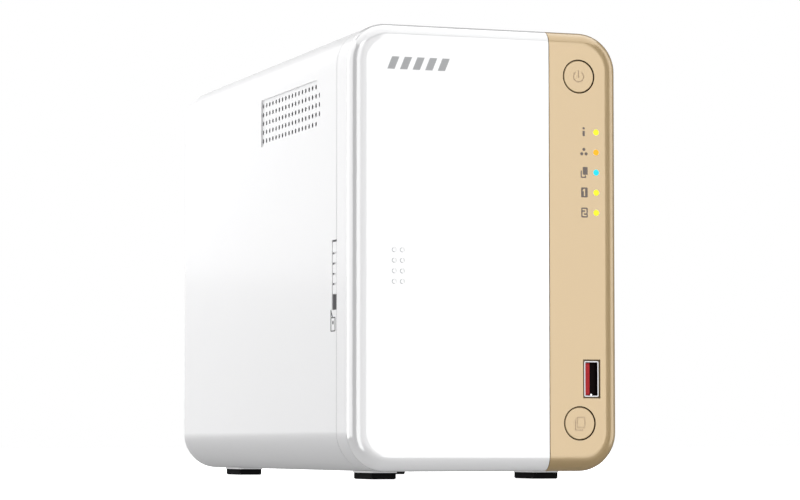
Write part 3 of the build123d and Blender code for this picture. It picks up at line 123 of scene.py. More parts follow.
def surface(name, colour, rough, metal=0.0, coat=0.0, coat_rough=0.05, grain=900.0,
            bump=0.1, depth=0.00002, shift=0.06, rough_shift=0.04, specular=0.5):
    """Moulded, painted or plated surface: faint mottling, uneven gloss and a fine grain."""
    made, tree, bsdf, vector = shader(name)
    mottle = noise(tree, vector, MOTTLE_SCALE, 2.0)
    darker = tuple(c * (1 - shift) for c in colour[:3]) + (1.0,)
    tree.links.new(mix(tree, mottle, darker, colour), bsdf.inputs["Base Color"])
    gloss = noise(tree, vector, GLOSS_SCALE, 2.0)
    tree.links.new(remap(tree, gloss, 0.0, 1.0, rough - rough_shift, rough + rough_shift),
                   bsdf.inputs["Roughness"])
    bsdf.inputs["Metallic"].default_value = metal
    bsdf.inputs["Coat Weight"].default_value = coat
    bsdf.inputs["Coat Roughness"].default_value = coat_rough
    bsdf.inputs["Specular IOR Level"].default_value = specular
    if bump:
        add_bump(tree, bsdf, noise(tree, vector, grain, 2.0), bump, depth)
    return made


def brushed(name, colour, rough, axis=2):
    """Sheet steel with fine lines along one axis."""
    made, tree, bsdf, vector = shader(name)
    stretch = tree.nodes.new("ShaderNodeMapping")
    across, along = 1400.0, 30.0
    scale = [across, across, across]
    scale[axis] = along
    stretch.inputs["Scale"].default_value = scale
    tree.links.new(vector, stretch.inputs["Vector"])
    lines = noise(tree, stretch.outputs["Vector"], 1.0, 3.0)
    darker = tuple(c * 0.82 for c in colour[:3]) + (1.0,)
    tree.links.new(mix(tree, lines, darker, colour), bsdf.inputs["Base Color"])
    tree.links.new(remap(tree, lines, 0.3, 0.7, rough - 0.07, rough + 0.07), bsdf.inputs["Roughness"])
    bsdf.inputs["Metallic"].default_value = 1.0
    add_bump(tree, bsdf, lines, 0.15, 0.00001)
    return made


def lit(name, colour, power):
    """Translucent plastic that glows."""
    made, tree, bsdf, vector = shader(name)
    glow = noise(tree, vector, 600.0, 1.0)
    body = tuple(c * 0.22 for c in colour[:3]) + (1.0,)
    duller = tuple(c * 0.16 for c in colour[:3]) + (1.0,)
    tree.links.new(mix(tree, glow, duller, body), bsdf.inputs["Base Color"])
    bsdf.inputs["Roughness"].default_value = 0.4
    bsdf.inputs["Specular IOR Level"].default_value = 0.25
    bsdf.inputs["Emission Color"].default_value = colour
    bsdf.inputs["Emission Strength"].default_value = power
    return made


def circuit(name, colour, trace):
    """Solder mask with copper runs faintly raised under it."""
    made, tree, bsdf, vector = shader(name)
    cells = tree.nodes.new("ShaderNodeTexVoronoi")
    cells.distance = "MANHATTAN"
    cells.inputs["Scale"].default_value = 260.0
    tree.links.new(vector, cells.inputs["Vector"])
    runs = remap(tree, cells.outputs["Distance"], 0.42, 0.5, 0.0, 1.0)
    tree.links.new(mix(tree, runs, colour, trace), bsdf.inputs["Base Color"])
    bsdf.inputs["Roughness"].default_value = 0.32
    bsdf.inputs["Coat Weight"].default_value = 0.3
    add_bump(tree, bsdf, runs, 0.3, 0.00003)
    return made


WHITE = surface("satin_white", linear(243, 243, 244), 0.3, coat=0.5, coat_rough=0.12,
                grain=2400.0, bump=0.03, shift=0.008, rough_shift=0.02)
GLOSS = surface("gloss_white", linear(247, 247, 248), 0.09, coat=1.0, coat_rough=0.03,
                bump=0.0, shift=0.008, rough_shift=0.01, specular=1.0)
GOLD = surface("satin_gold", linear(188, 162, 119), 0.24, metal=0.19, coat=0.5, coat_rough=0.12,
               grain=4200.0, bump=0.04, shift=0.02, rough_shift=0.008)
RUBBER = surface("foot_rubber", linear(13, 13, 14), 0.85, grain=1400.0, bump=0.3, depth=0.00004,
                 specular=0.08)
PALE = surface("pale_plastic", linear(232, 232, 232), 0.5)
SHEET = brushed("zinc_sheet", linear(196, 198, 200), 0.34)
REAR = surface("rear_paint", linear(205, 205, 206), 0.52, grain=1800.0, bump=0.35,
               depth=0.00005, shift=0.03)
SCREW = brushed("screw_steel", linear(168, 170, 172), 0.3, 0)
CHROME = surface("plated_steel", linear(225, 225, 226), 0.16, metal=1.0, bump=0.02, shift=0.04)
TRAY = surface("tray_plastic", linear(58, 60, 63), 0.5, grain=1500.0, bump=0.35, depth=0.00005)
LEVER = surface("lever_plastic", linear(120, 123, 127), 0.42, grain=1500.0, bump=0.25, depth=0.00004)
ACETAL = surface("guide_plastic", linear(226, 226, 220), 0.38)
BOARD = circuit("solder_mask", linear(18, 84, 48), linear(34, 118, 66))
CHIP = surface("chip_epoxy", linear(28, 28, 30), 0.5, grain=2200.0, bump=0.2)
ALUMINIUM = brushed("sink_aluminium", linear(190, 192, 196), 0.36, 1)
CONTACT = surface("contact_gold", linear(226, 186, 104), 0.22, metal=1.0, bump=0.0)
FAN = surface("fan_plastic", linear(34, 34, 36), 0.46, grain=1600.0, bump=0.2)
LEAD = surface("lead_sleeve", linear(26, 26, 27), 0.55, grain=2400.0, bump=0.4)
LAMP = surface("lamp_body", linear(235, 230, 205), 0.3)
RED = surface("usb_red", linear(188, 24, 34), 0.5, bump=0.0, specular=0.15)
MOUTH = surface("usb_mouth", linear(160, 160, 162), 0.3, metal=1.0, bump=0.02, shift=0.04)
# painted shade in the front USB socket's throat
THROAT_SHADE = surface("socket_throat_shade", linear(16, 8, 9), 0.8, bump=0.0, specular=0.05)
# painted shade in the gap round the front USB shell
SURROUND_SHADE = surface("usb_edge_shade", linear(112, 96, 70), 0.6, bump=0.0, specular=0.1)
# painted shade at the bottom of the joint lines
PAINTED_SEAM_SHADE = surface("seam_shade", linear(70, 70, 72), 0.8, bump=0.0, specular=0.05)
# painted shade in the side's air holes
HOLE_SHADE = surface("vent_shade", linear(160, 160, 162), 0.8, bump=0.0, specular=0.05)
TIN = surface("tinned_lead", linear(190, 192, 194), 0.28, metal=1.0, bump=0.0)
CERAMIC = surface("ceramic_tan", linear(176, 150, 116), 0.5, bump=0.0)
CAN = surface("capacitor_can", linear(196, 198, 202), 0.3, metal=1.0, bump=0.02)
BLUE = surface("usb_blue", linear(30, 80, 190), 0.34, bump=0.0)
BLACK = surface("socket_black", linear(18, 18, 19), 0.42, bump=0.1)
ICON = surface("icon_ink", linear(104, 92, 84), 0.5, bump=0.0)
FAINT = surface("engraved_ink", linear(168, 140, 106), 0.5, bump=0.0)
GREY_MARK = surface("grey_mark", linear(172, 173, 175), 0.4, bump=0.0)
SIDE_MARK = surface("side_mark", linear(84, 84, 86), 0.6, bump=0.0, specular=0.1)
# painted shade in the lock slider's slot
SLOT_SHADE = surface("lock_slot_painted_shade", linear(150, 150, 152), 0.8, bump=0.0, specular=0.1)
# painted shade on one side of each touch mark on the cover
DIMPLE_SHADE = surface("dimple_painted_shade", linear(158, 159, 163), 0.4, bump=0.0)
# painted shade in the gaps round the buttons
GROOVE_SHADE = surface("button_groove_shade", linear(30, 22, 12), 0.8, bump=0.0, specular=0.05)

PAINT = {
    WHITE: ("outer_sleeve", "front_bezel", "lock_slider"),
    GLOSS: ("front_cover",),
    GOLD: ("accent_panel", "power_button", "copy_button"),
    RED: ("front_usb_tongue",),
    BLUE: ("rear_usb_tongues",),
    BLACK: ("hdmi_tongue", "dc_inlet", "drive_connectors", "board_link", "memory_socket",
            "coin_cell_holder", "reset_switch", "reset_button", "front_switches", "buzzer", "fan_plug"),
    MOUTH: ("front_usb_shell",),
    CHROME: ("rear_usb_shells", "network_jacks", "hdmi_port", "dc_pin",
             "coin_cell", "lever_pin_1", "lever_pin_2"),
    RUBBER: ("foot_pads",),
    PALE: ("foot_bases", "fixing_blocks"),
    SHEET: ("chassis", "cage_brackets", "drive_cage", "security_bracket"),
    REAR: ("rear_panel",),
    SCREW: ("cage_screws", "board_screws", "panel_screws", "fan_screws", "board_standoffs"),
    TRAY: ("drive_tray_1", "drive_tray_2"),
    LEVER: ("tray_lever_1", "tray_lever_2"),
    ACETAL: ("tray_guides",),
    BOARD: ("front_board", "backplane", "main_board"),
    CHIP: ("processor", "memory_module"),
    ALUMINIUM: ("heat_sink",),
    CONTACT: ("front_usb_contacts", "jack_contacts"),
    FAN: ("fan_frame", "fan_rotor"),
    LEAD: ("fan_lead",),
    LAMP: ("status_lamps",),
}
for coat, names in PAINT.items():
    for name in names:
        nodes[name].data.materials.clear()
        nodes[name].data.materials.append(coat)


# ---------------------------------------------------------------- helpers for new pieces
MARK_T = 0.06                                           # printed marks, in millimetres
FRONT = Matrix(((1, 0, 0), (0, 0, -1), (0, 1, 0)))      # flat outline seen from the front
LEFT = Matrix(((0, 0, -1), (-1, 0, 0), (0, 1, 0)))      # seen from the left side


def linked(name, mesh):
    """Object in the scene for a mesh."""
    obj = bpy.data.objects.new(name, mesh)
    bpy.context.scene.collection.objects.link(obj)
    return obj


def mesh_from(work, name):
    """Mesh from a bmesh, which it frees."""
    mesh = bpy.data.meshes.new(name)
    work.to_mesh(mesh)
    work.free()
    return mesh


def finished(work, name):
    """Object from a bmesh, which it frees."""
    return linked(name, mesh_from(work, name))


def keep(obj, coat, body):
    """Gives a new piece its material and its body."""
    obj.data.materials.clear()
    obj.data.materials.append(coat)
    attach(obj, body)


def flat_mark(name, loops, origin, facing, thick):
    """Thin plate from closed outlines in millimetres; an outline inside another is a hole."""
    curve = bpy.data.curves.new(name, "CURVE")
    curve.dimensions = "2D"
    curve.fill_mode = "BOTH"
    curve.extrude = thick * MM / 2
    for loop in loops:
        spline = curve.splines.new("POLY")
        spline.points.add(len(loop) - 1)
        for point, (x, y) in zip(spline.points, loop):
            point.co = (x * MM, y * MM, 0, 1)
        spline.use_cyclic_u = True
    shape = bpy.data.objects.new(name + "_outline", curve)
    bpy.context.scene.collection.objects.link(shape)
    bpy.context.view_layer.update()
    mesh = bpy.data.meshes.new_from_object(shape)
    bpy.data.objects.remove(shape)
    mesh.name = name
    mesh.transform(Matrix.Translation(origin) @ facing.to_4x4())
    return linked(name, mesh)


def front_mark(name, loops, y, thick=MARK_T):
    """Flat mark that faces the front, at the given depth."""
    return flat_mark(name, loops, (0, y, 0), FRONT, thick)


def block(name, low_corner, high_corner, rounding):
    """Mesh of a small block with softened edges, from one corner to the other."""
    size = Vector(high_corner) - Vector(low_corner)
    centre = (Vector(high_corner) + Vector(low_corner)) / 2
    work = bmesh.new()
    bmesh.ops.create_cube(work, size=1.0)
    for v in work.verts:
        v.co = v.co * size + centre
    offset = min(rounding, min(size) * 0.3)
    bmesh.ops.bevel(work, geom=work.edges[:], offset=offset, segments=2, affect="EDGES", profile=0.5)
    return mesh_from(work, name)


def plate(name, low_corner, high_corner, coat, body, rounding):
    """Small block with softened edges, as a piece of its own."""
    keep(linked(name, block(name, low_corner, high_corner, rounding)), coat, body)


def circle(x, y, r, count):
    """Circle about (x, y)."""
    turn = [math.tau * i / count for i in range(count)]
    return [(x + r * math.cos(a), y + r * math.sin(a)) for a in turn]


def rectangle(x, y, w, h, r=0.0, count=6):
    """Rectangle about (x, y) with rounded corners."""
    if r <= 0:
        return [(x + sx * w / 2, y + sy * h / 2) for sx, sy in ((-1, -1), (1, -1), (1, 1), (-1, 1))]
    points = []
    for i, (sx, sy) in enumerate(((1, -1), (1, 1), (-1, 1), (-1, -1))):
        cx, cy = x + sx * (w / 2 - r), y + sy * (h / 2 - r)
        start = math.radians(-90 + 90 * i)
        points += [(cx + r * math.cos(start + math.pi / 2 * k / count),
                    cy + r * math.sin(start + math.pi / 2 * k / count)) for k in range(count + 1)]
    return points


def arc_band(x, y, r, width, start, end, count=28):
    """Band along an arc, from start to end in degrees."""
    outer, inner = [], []
    for i in range(count + 1):
        a = math.radians(start + (end - start) * i / count)
        outer.append((x + (r + width / 2) * math.cos(a), y + (r + width / 2) * math.sin(a)))
        inner.append((x + (r - width / 2) * math.cos(a), y + (r - width / 2) * math.sin(a)))
    return outer + inner[::-1]


# ---------------------------------------------------------------- sizes in millimetres
SEAM_GAP = 0.3                # joint line between outer pieces
CORNER_R = 14.4               # long edges of the shell
SEAM_INSETS = (0.05, 1.6)     # outer and inner edge of the painted shade in the joint line
SPLIT_SHADE_W = 0.26
SLOT_LEN = 5.2                # lock slider's slot, front to back
VENT_SETBACK, VENT_L, VENT_H, VENT_DROP, VENT_DEPTH = 37.1, 75.7, 18.6, 16.9, 0.6
VENT_ROWS, VENT_COLUMNS, VENT_BLIND_COLUMNS = 5, 17, 3
VENT_ROW_PITCH, VENT_COLUMN_PITCH = 3.5, 4.24
VENT_COLUMN_INSET, VENT_ROW_INSET = 1.2, 2.2
# sleeves of painted shade in the air holes
VENT_SHADE_R, VENT_SHADE_BORE_R = 0.94, 0.86
VENT_SHADE_L, VENT_BLIND_SHADE_L, VENT_SHADE_SINK = 1.3, 0.45, 0.04
BUTTON_R, GROOVE_W, GROOVE_DEPTH = 5.95, 0.4, 0.35
LENS_R, LENS_RIM = 1.25, 0.6  # the rim is a light's collar behind the panel
LENS_SINK = 0.05              # edge of a light's face behind the panel's front
LENS_CROWN = 0.1              # height of a light's face, as a share of its radius
DIMPLE_INSET, DIMPLE_DROP = 16.3, 1.3
DIMPLE_COLUMN_PITCH, DIMPLE_ROW_PITCH = 3.1, 3.83
DIMPLE_EDGE_R, DIMPLE_EDGE_W, DIMPLE_EDGE_DEPTH = 0.74, 0.3, 0.21
USB_SKIN = 0.45               # outside of the front USB shell to the painted shade in its throat

# ---------------------------------------------------------------- places read from the frame, in metres
front_y = cad_low.y
left_x = cad_low.x
shell_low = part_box("outer_sleeve")[0].z
shell_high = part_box("outer_sleeve")[1].z
power_low, power_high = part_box("power_button")
copy_low, copy_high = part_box("copy_button")
lens_low, lens_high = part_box("status_lenses")
power_mid = (power_low + power_high) / 2
copy_mid = (copy_low + copy_high) / 2
lens_x = (lens_low.x + lens_high.x) / 2
lens_top = lens_high.z - (LENS_RIM + LENS_R) * MM
lens_bottom = lens_low.z + (LENS_RIM + LENS_R) * MM
lens_z = [lens_top + (lens_bottom - lens_top) * i / 4 for i in range(5)]


# ---------------------------------------------------------------- printed marks
def cover_mark():
    """Plain row of slanted bars near the cover's top, in place of a name."""
    width, height, lean = 24.4, 4.6, 1.9
    bars, share = 5, 0.58
    inset, drop = 13.6, 17.0
    step = width / bars
    z = shell_high / MM - drop
    loops = []
    for i in range(bars):
        a = left_x / MM + inset + i * step
        b = a + step * share
        loops.append([(a, z), (b, z), (b + lean, z + height), (a + lean, z + height)])
    keep(front_mark("cover_mark", loops, front_y), GREY_MARK, "cover")


def status_icons():
    """Small printed signs beside the status lights, outlined about each light's height."""
    lens_to_sign = 4.75
    x = lens_x / MM - lens_to_sign
    power, network, copying, bay_1, bay_2 = (z / MM for z in lens_z)
    loops = [circle(x - 0.2, power + 1.35, 0.45, 20), rectangle(x - 0.2, power - 0.55, 0.9, 2.0, 0.12)]
    for dx, dz in ((-0.15, 1.0), (-1.0, -0.65), (0.75, -0.65)):
        loops.append(circle(x + dx, network + dz, 0.6, 24))
    loops.append(rectangle(x + 0.35, copying + 0.55, 1.95, 2.9, 0.25))
    back_page = ((-1.45, 0.6), (-1.45, -2.1), (0.7, -2.1), (0.7, -1.2), (0.25, -1.2), (0.25, -1.65),
                 (-1.0, -1.65), (-1.0, 0.6))
    one = ((-0.2, 1.35), (0.32, 1.35), (0.32, -1.35), (-0.22, -1.35), (-0.22, 0.6), (-0.68, 0.35),
           (-0.68, 0.85))
    two = ((-0.8, 1.35), (0.8, 1.35), (0.8, -0.26), (-0.24, -0.26), (-0.24, -0.83), (0.8, -0.83),
           (0.8, -1.35), (-0.8, -1.35), (-0.8, 0.26), (0.24, 0.26), (0.24, 0.83), (-0.8, 0.83))
    loops.append([(x + dx, copying + dz) for dx, dz in back_page])
    for digit, z in ((one, bay_1), (two, bay_2)):
        loops.append(rectangle(x, z, 2.6, 3.7, 0.35))
        loops.append([(x + dx, z + dz) for dx, dz in digit])
    keep(front_mark("status_icons", loops, front_y), ICON, "root")


def button_signs():
    """Faint signs on the two buttons."""
    x, z = power_mid.x / MM, power_mid.z / MM
    ring = arc_band(x, z, 2.0, 0.34, 128, 412)
    bar = rectangle(x, z + 1.0, 0.36, 2.9, 0.12)
    sign = front_mark("power_sign", [ring, bar], power_low.y)
    keep(sign, FAINT, "power_button")
    x, z = copy_mid.x / MM, copy_mid.z / MM
    front_page = [rectangle(x + 0.5, z + 0.4, 3.3, 3.9, 0.3), rectangle(x + 0.5, z + 0.4, 2.8, 3.4, 0.1)]
    back_page = ((-1.9, 1.4), (-1.9, -2.6), (1.3, -2.6), (1.3, -2.0), (1.0, -2.0), (1.0, -2.3),
                 (-1.6, -2.3), (-1.6, 1.4))
    loops = [*front_page, [(x + dx, z + dz) for dx, dz in back_page]]
    keep(front_mark("copy_sign", loops, copy_low.y), FAINT, "copy_button")


def padlock_sign():
    """Open padlock printed under the lock slider's slot."""
    setback, rise = 3.9, 51.2
    y = -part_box("outer_sleeve")[0].y / MM - setback
    z = shell_low / MM + rise
    body = [rectangle(y, z + 2.55, 5.6, 5.3, 0.4), rectangle(y, z + 2.55, 4.0, 4.5, 0.2)]
    keyhole = circle(y, z + 3.2, 0.75, 20)
    shackle = ((-2.8, 5.0), (-2.8, 7.9), (-2.2, 8.0), (-0.2, 5.2), (-1.1, 5.2), (-2.0, 6.5), (-2.0, 5.0))
    loops = [*body, keyhole, [(y + dy, z + dz) for dy, dz in shackle]]
    sign = flat_mark("padlock_sign", loops, (left_x, 0, 0), LEFT, MARK_T)
    keep(sign, SIDE_MARK, "root")


def dimple_shades():
    """Painted shade on the edge of each touch mark on the cover, on the side away from the light."""
    x0 = left_x / MM + DIMPLE_INSET
    z0 = (shell_low + shell_high) / 2 / MM - DIMPLE_DROP
    loops = []
    for column in range(2):
        for row in range(4):
            x, z = x0 + DIMPLE_COLUMN_PITCH * column, z0 - DIMPLE_ROW_PITCH * row
            loops.append(arc_band(x, z, DIMPLE_EDGE_R, DIMPLE_EDGE_W, 105, 285, 14))
    shade_arcs = front_mark("dimple_shades", loops, front_y + DIMPLE_EDGE_DEPTH * MM)
    keep(shade_arcs, DIMPLE_SHADE, "cover")


# ---------------------------------------------------------------- lights, and painted shade in gaps, slots and holes
def lens_faces():
    """Glowing faces of the status lights, and clear plastic for the pipes behind them."""
    yellow = lit("glow_yellow", linear(252, 246, 36), 0.88)
    orange = lit("glow_orange", linear(255, 186, 10), 0.88)
    cyan = lit("glow_cyan", linear(4, 226, 246), 0.9)
    for i, (z, glow) in enumerate(zip(lens_z, (yellow, orange, cyan, yellow, yellow)), start=1):
        dome = bmesh.new()
        bmesh.ops.create_uvsphere(dome, u_segments=32, v_segments=16, radius=LENS_R * MM)
        bmesh.ops.delete(dome, geom=[v for v in dome.verts if v.co.z < -1e-6], context="VERTS")
        for v in dome.verts:
            y = front_y + LENS_SINK * MM - v.co.z * LENS_CROWN
            v.co = Vector((v.co.x + lens_x, y, v.co.y + z))
        bmesh.ops.reverse_faces(dome, faces=dome.faces)
        bmesh.ops.recalc_face_normals(dome, faces=dome.faces)
        light_face = finished(dome, f"status_light_{i}")
        for polygon in light_face.data.polygons:
            polygon.use_smooth = True
        keep(light_face, glow, "root")
    nodes["status_lenses"].data.materials.clear()
    nodes["status_lenses"].data.materials.append(surface("lens_clear", linear(236, 226, 180), 0.25))


def button_groove_shades():
    """Painted shade in the gap round each button."""
    clear_outside, clear_inside = 0.01, 0.02
    thick = 0.3
    for name, centre in (("power_groove_shade", power_mid), ("copy_groove_shade", copy_mid)):
        x, z = centre.x / MM, centre.z / MM
        rings = [circle(x, z, BUTTON_R + GROOVE_W - clear_outside, 72),
                 circle(x, z, BUTTON_R + clear_inside, 72)]
        groove_shade = front_mark(name, rings, front_y + GROOVE_DEPTH * MM, thick)
        keep(groove_shade, GROOVE_SHADE, "root")


def lock_slot_shade():
    """Grey painted shade on the rear wall of the lock slider's slot, down to the end of its travel."""
    slider_low, slider_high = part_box("lock_slider")
    slot_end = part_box("outer_sleeve")[0].y + SLOT_LEN * MM
    plate("lock_slot_shade", (left_x + 0.4 * MM, slot_end - 0.16 * MM, slider_low.z - 5.7 * MM),
          (left_x + 1.9 * MM, slot_end - 0.01 * MM, slider_high.z + 0.6 * MM),
          SLOT_SHADE, "root", 0.03 * MM)


def seam_shade():
    """Painted shade at the bottom of the joint line between the front frame and the sleeve."""
    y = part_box("outer_sleeve")[0].y - SEAM_GAP * MM / 2
    width, height = (cad_high.x - cad_low.x) / MM, (shell_high - shell_low) / MM
    middle_z = (shell_high + shell_low) / 2 / MM
    loops = [rectangle(0, middle_z, width - 2 * inset, height - 2 * inset, CORNER_R - inset, 16)
             for inset in SEAM_INSETS]
    keep(front_mark("seam_shade", loops, y, SEAM_GAP - 0.02), PAINTED_SEAM_SHADE, "root")


def split_shade():
    """Painted shade at the bottom of the joint line between the cover and the metallic strip."""
    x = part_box("accent_panel")[0].x - SEAM_GAP * MM / 2
    half = SPLIT_SHADE_W / 2 * MM
    front, back, end_gap = 0.9 * MM, 5.6 * MM, 4.0 * MM
    plate("split_shade", (x - half, front_y + front, shell_low + end_gap),
          (x + half, front_y + back, shell_high - end_gap), PAINTED_SEAM_SHADE, "root", 0.03 * MM)


def tubes(name, places, outer, inner, spans, count=20):
    """One piece made of short tubes along X, at (y, z) places, each with its own ends."""
    work = bmesh.new()
    for (y, z), (start, end) in zip(places, spans):
        loops = []
        for x, r in ((start, outer), (start, inner), (end, inner), (end, outer)):
            turn = [math.tau * k / count for k in range(count)]
            loops.append([work.verts.new((x, y + r * math.cos(a), z + r * math.sin(a))) for a in turn])
        for i, one in enumerate(loops):
            two = loops[(i + 1) % len(loops)]
            for k in range(count):
                after = (k + 1) % count
                work.faces.new((one[k], one[after], two[after], two[k]))
    bmesh.ops.recalc_face_normals(work, faces=work.faces)
    return finished(work, name)


def vent_hole_shades():
    """Sleeves of painted shade in the side's air holes, shallow where the holes are blind."""
    y0 = front_y + (VENT_SETBACK + VENT_L - VENT_COLUMN_INSET) * MM
    z0 = shell_high - (VENT_DROP + VENT_H - VENT_ROW_INSET) * MM
    start = left_x + (VENT_DEPTH + VENT_SHADE_SINK) * MM
    places, spans = [], []
    for column in range(VENT_COLUMNS + 1):
        rows = range(VENT_ROWS) if column < VENT_COLUMNS else range(1, VENT_ROWS - 1)
        length = VENT_BLIND_SHADE_L if column < VENT_BLIND_COLUMNS else VENT_SHADE_L
        for row in rows:
            places.append((y0 - VENT_COLUMN_PITCH * MM * column, z0 + VENT_ROW_PITCH * MM * row))
            spans.append((start, start + length * MM))
    hole_shades = tubes("vent_hole_shades", places, VENT_SHADE_R * MM, VENT_SHADE_BORE_R * MM, spans)
    keep(hole_shades, HOLE_SHADE, "root")


def front_socket_shade():
    """Painted shade in the throat of the front USB socket and along its edge in the panel, and the tab
    at its bottom.
    """
    shell_a, shell_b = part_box("front_usb_shell")
    tongue_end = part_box("front_usb_tongue")[1].x
    mouth = shell_a.y
    throat_low, throat_high = shell_a.z + USB_SKIN * MM, shell_b.z - USB_SKIN * MM
    plate("usb_throat_shade", (tongue_end + 0.05 * MM, mouth + 1.6 * MM, throat_low),
          (shell_b.x - USB_SKIN * MM, mouth + 2.0 * MM, throat_high),
          THROAT_SHADE, "root", 0.02 * MM)
    plate("usb_throat_wall_shade", (shell_b.x - 0.56 * MM, mouth + 0.35 * MM, throat_low),
          (shell_b.x - 0.42 * MM, mouth + 1.6 * MM, throat_high),
          THROAT_SHADE, "root", 0.02 * MM)
    middle_x = (shell_a.x + shell_b.x) / 2
    plate("usb_tab", (middle_x - 0.4 * MM, mouth + 0.2 * MM, shell_a.z + 0.3 * MM),
          (middle_x + 0.4 * MM, mouth + 1.2 * MM, shell_a.z + 1.1 * MM),
          CHROME, "root", 0.2 * MM)
    x, z = middle_x / MM, (shell_a.z + shell_b.z) / 2 / MM
    width, height = (shell_b.x - shell_a.x) / MM, (shell_b.z - shell_a.z) / MM
    edge, clear = 1.18, 0.04
    # painted shade in the gap between the USB shell and the panel
    loops = [rectangle(x, z, width + edge, height + edge),
             rectangle(x, z, width + clear, height + clear, 0.5)]
    surround_shade = front_mark("usb_surround_shade", loops, front_y + 0.7 * MM, 0.3)
    keep(surround_shade, SURROUND_SHADE, "root")


# ---------------------------------------------------------------- parts on the main board
PART_SIZES = {                # along Y, along Z, height off the board
    "can": (6.0, 6.0, 7.0),
    "chip": (9.0, 8.0, 1.6),
    "cap": (2.0, 1.2, 1.1),
    "choke": (6.0, 6.0, 3.4),
}
PART_ORDER = ("can", "chip", "cap", "choke", "cap")
PART_COATS = {"chip": CHIP, "choke": BLACK, "cap": CERAMIC}
PART_COLUMNS, PART_ROWS = 9, 7
PART_CLEAR = 0.6              # to everything else that stands on the board
LEAD_COUNT, LEAD_REACH, LEAD_END_GAP = 8, 0.6, 0.5
TALLEST_SOCKET = 20.0         # off the board, on its rear edge


def can(name, foot, direction, radius, length):
    """Round can that stands on a board, with softened ends."""
    rim, count = 0.2 * MM, 24
    profile = ((0.0, 0.0), (radius - rim, 0.0), (radius, rim), (radius, length - rim),
               (radius - rim, length), (radius * 0.8, length), (radius * 0.78, length - rim),
               (0.0, length - rim))
    side = direction.orthogonal().normalized()
    other = direction.cross(side)
    work = bmesh.new()
    loops = []
    for r, h in profile:
        turn = [math.tau * k / count for k in range(count if r else 1)]
        loops.append([work.verts.new(Vector(foot) + direction * h + side * r * math.cos(a)
                                     + other * r * math.sin(a)) for a in turn])
    for one, two in zip(loops, loops[1:]):
        for k in range(count):
            corners = (one[k % len(one)], one[(k + 1) % len(one)],
                       two[(k + 1) % len(two)], two[k % len(two)])
            work.faces.new(list(dict.fromkeys(corners)))
    bmesh.ops.recalc_face_normals(work, faces=work.faces)
    made = finished(work, name)
    for polygon in made.data.polygons:
        polygon.use_smooth = len(polygon.vertices) == 4
    keep(made, CAN, "root")


def chip_leads(name, low_corner, high_corner):
    """Row of flat leads along both sides of a chip that stands on the board's -X face."""
    step = (high_corner.z - low_corner.z - 2 * LEAD_END_GAP * MM) / LEAD_COUNT
    foot, top = high_corner.x, high_corner.x - (high_corner.x - low_corner.x) * 0.3
    work = bmesh.new()
    for edge in (low_corner.y - LEAD_REACH * MM, high_corner.y):
        for k in range(LEAD_COUNT):
            start = low_corner.z + LEAD_END_GAP * MM + step * (k + 0.3)
            end = (foot, edge + LEAD_REACH * MM, start + step * 0.4)
            lead = block(name, (top, edge, start), end, 0.02 * MM)
            work.from_mesh(lead)
            bpy.data.meshes.remove(lead)
    keep(finished(work, name), TIN, "root")


def is_free(low_corner, high_corner, others):
    """Whether a block stays clear of every other box."""
    gap = PART_CLEAR * MM
    for a, b in others:
        if all(low_corner[i] < b[i] + gap and high_corner[i] > a[i] - gap for i in range(3)):
            return False
    return True


def board_parts():
    """Cans, chips, chokes and passives in rows on the main board's inner face, where there is room."""
    board_low, board_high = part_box("main_board")
    sockets = ("network_jacks", "rear_usb_shells", "hdmi_port", "dc_inlet")
    sockets_y = min(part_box(name)[0].y for name in sockets)
    taken = [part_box(name) for name in (
        "processor", "heat_sink", "memory_socket", "memory_module", "coin_cell_holder", "buzzer",
        "fan_plug", "hdmi_port", "dc_inlet", "board_link", "reset_switch", "reset_button", "backplane",
        "drive_cage", "front_board")]
    taken.append((Vector((board_low.x - TALLEST_SOCKET * MM, sockets_y, board_low.z)), board_high))
    count = 0
    for column in range(PART_COLUMNS):
        for row in range(PART_ROWS):
            kind = PART_ORDER[(column + 2 * row) % len(PART_ORDER)]
            length, width, tall = (v * MM for v in PART_SIZES[kind])
            y = board_low.y + (board_high.y - board_low.y) * (0.05 + 0.1 * column)
            z = board_low.z + (board_high.z - board_low.z) * (0.08 + 0.14 * row)
            low_corner = Vector((board_low.x - tall, y - length / 2, z - width / 2))
            high_corner = Vector((board_low.x, y + length / 2, z + width / 2))
            if not is_free(low_corner, high_corner, taken):
                continue
            taken.append((low_corner, high_corner))
            count += 1
            name = f"main_board_{kind}_{count}"
            if kind == "can":
                can(name, (board_low.x, y, z), Vector((-1, 0, 0)), length / 2, tall)
            else:
                plate(name, low_corner, high_corner, PART_COATS[kind], "root", 0.12 * MM)
            if kind == "chip":
                chip_leads(f"{name}_leads", low_corner, high_corner)


cover_mark()
button_groove_shades()
dimple_shades()
lock_slot_shade()
seam_shade()
split_shade()
vent_hole_shades()
front_socket_shade()
status_icons()
lens_faces()
button_signs()
padlock_sign()
board_parts()


# ---------------------------------------------------------------- studio
AMBIENT = 0.42                # evenly lit surroundings
GLOSSY_AMBIENT = 0.16         # the same as a reflection, between the softboxes
MIDDLE = (cad_low + cad_high) / 2


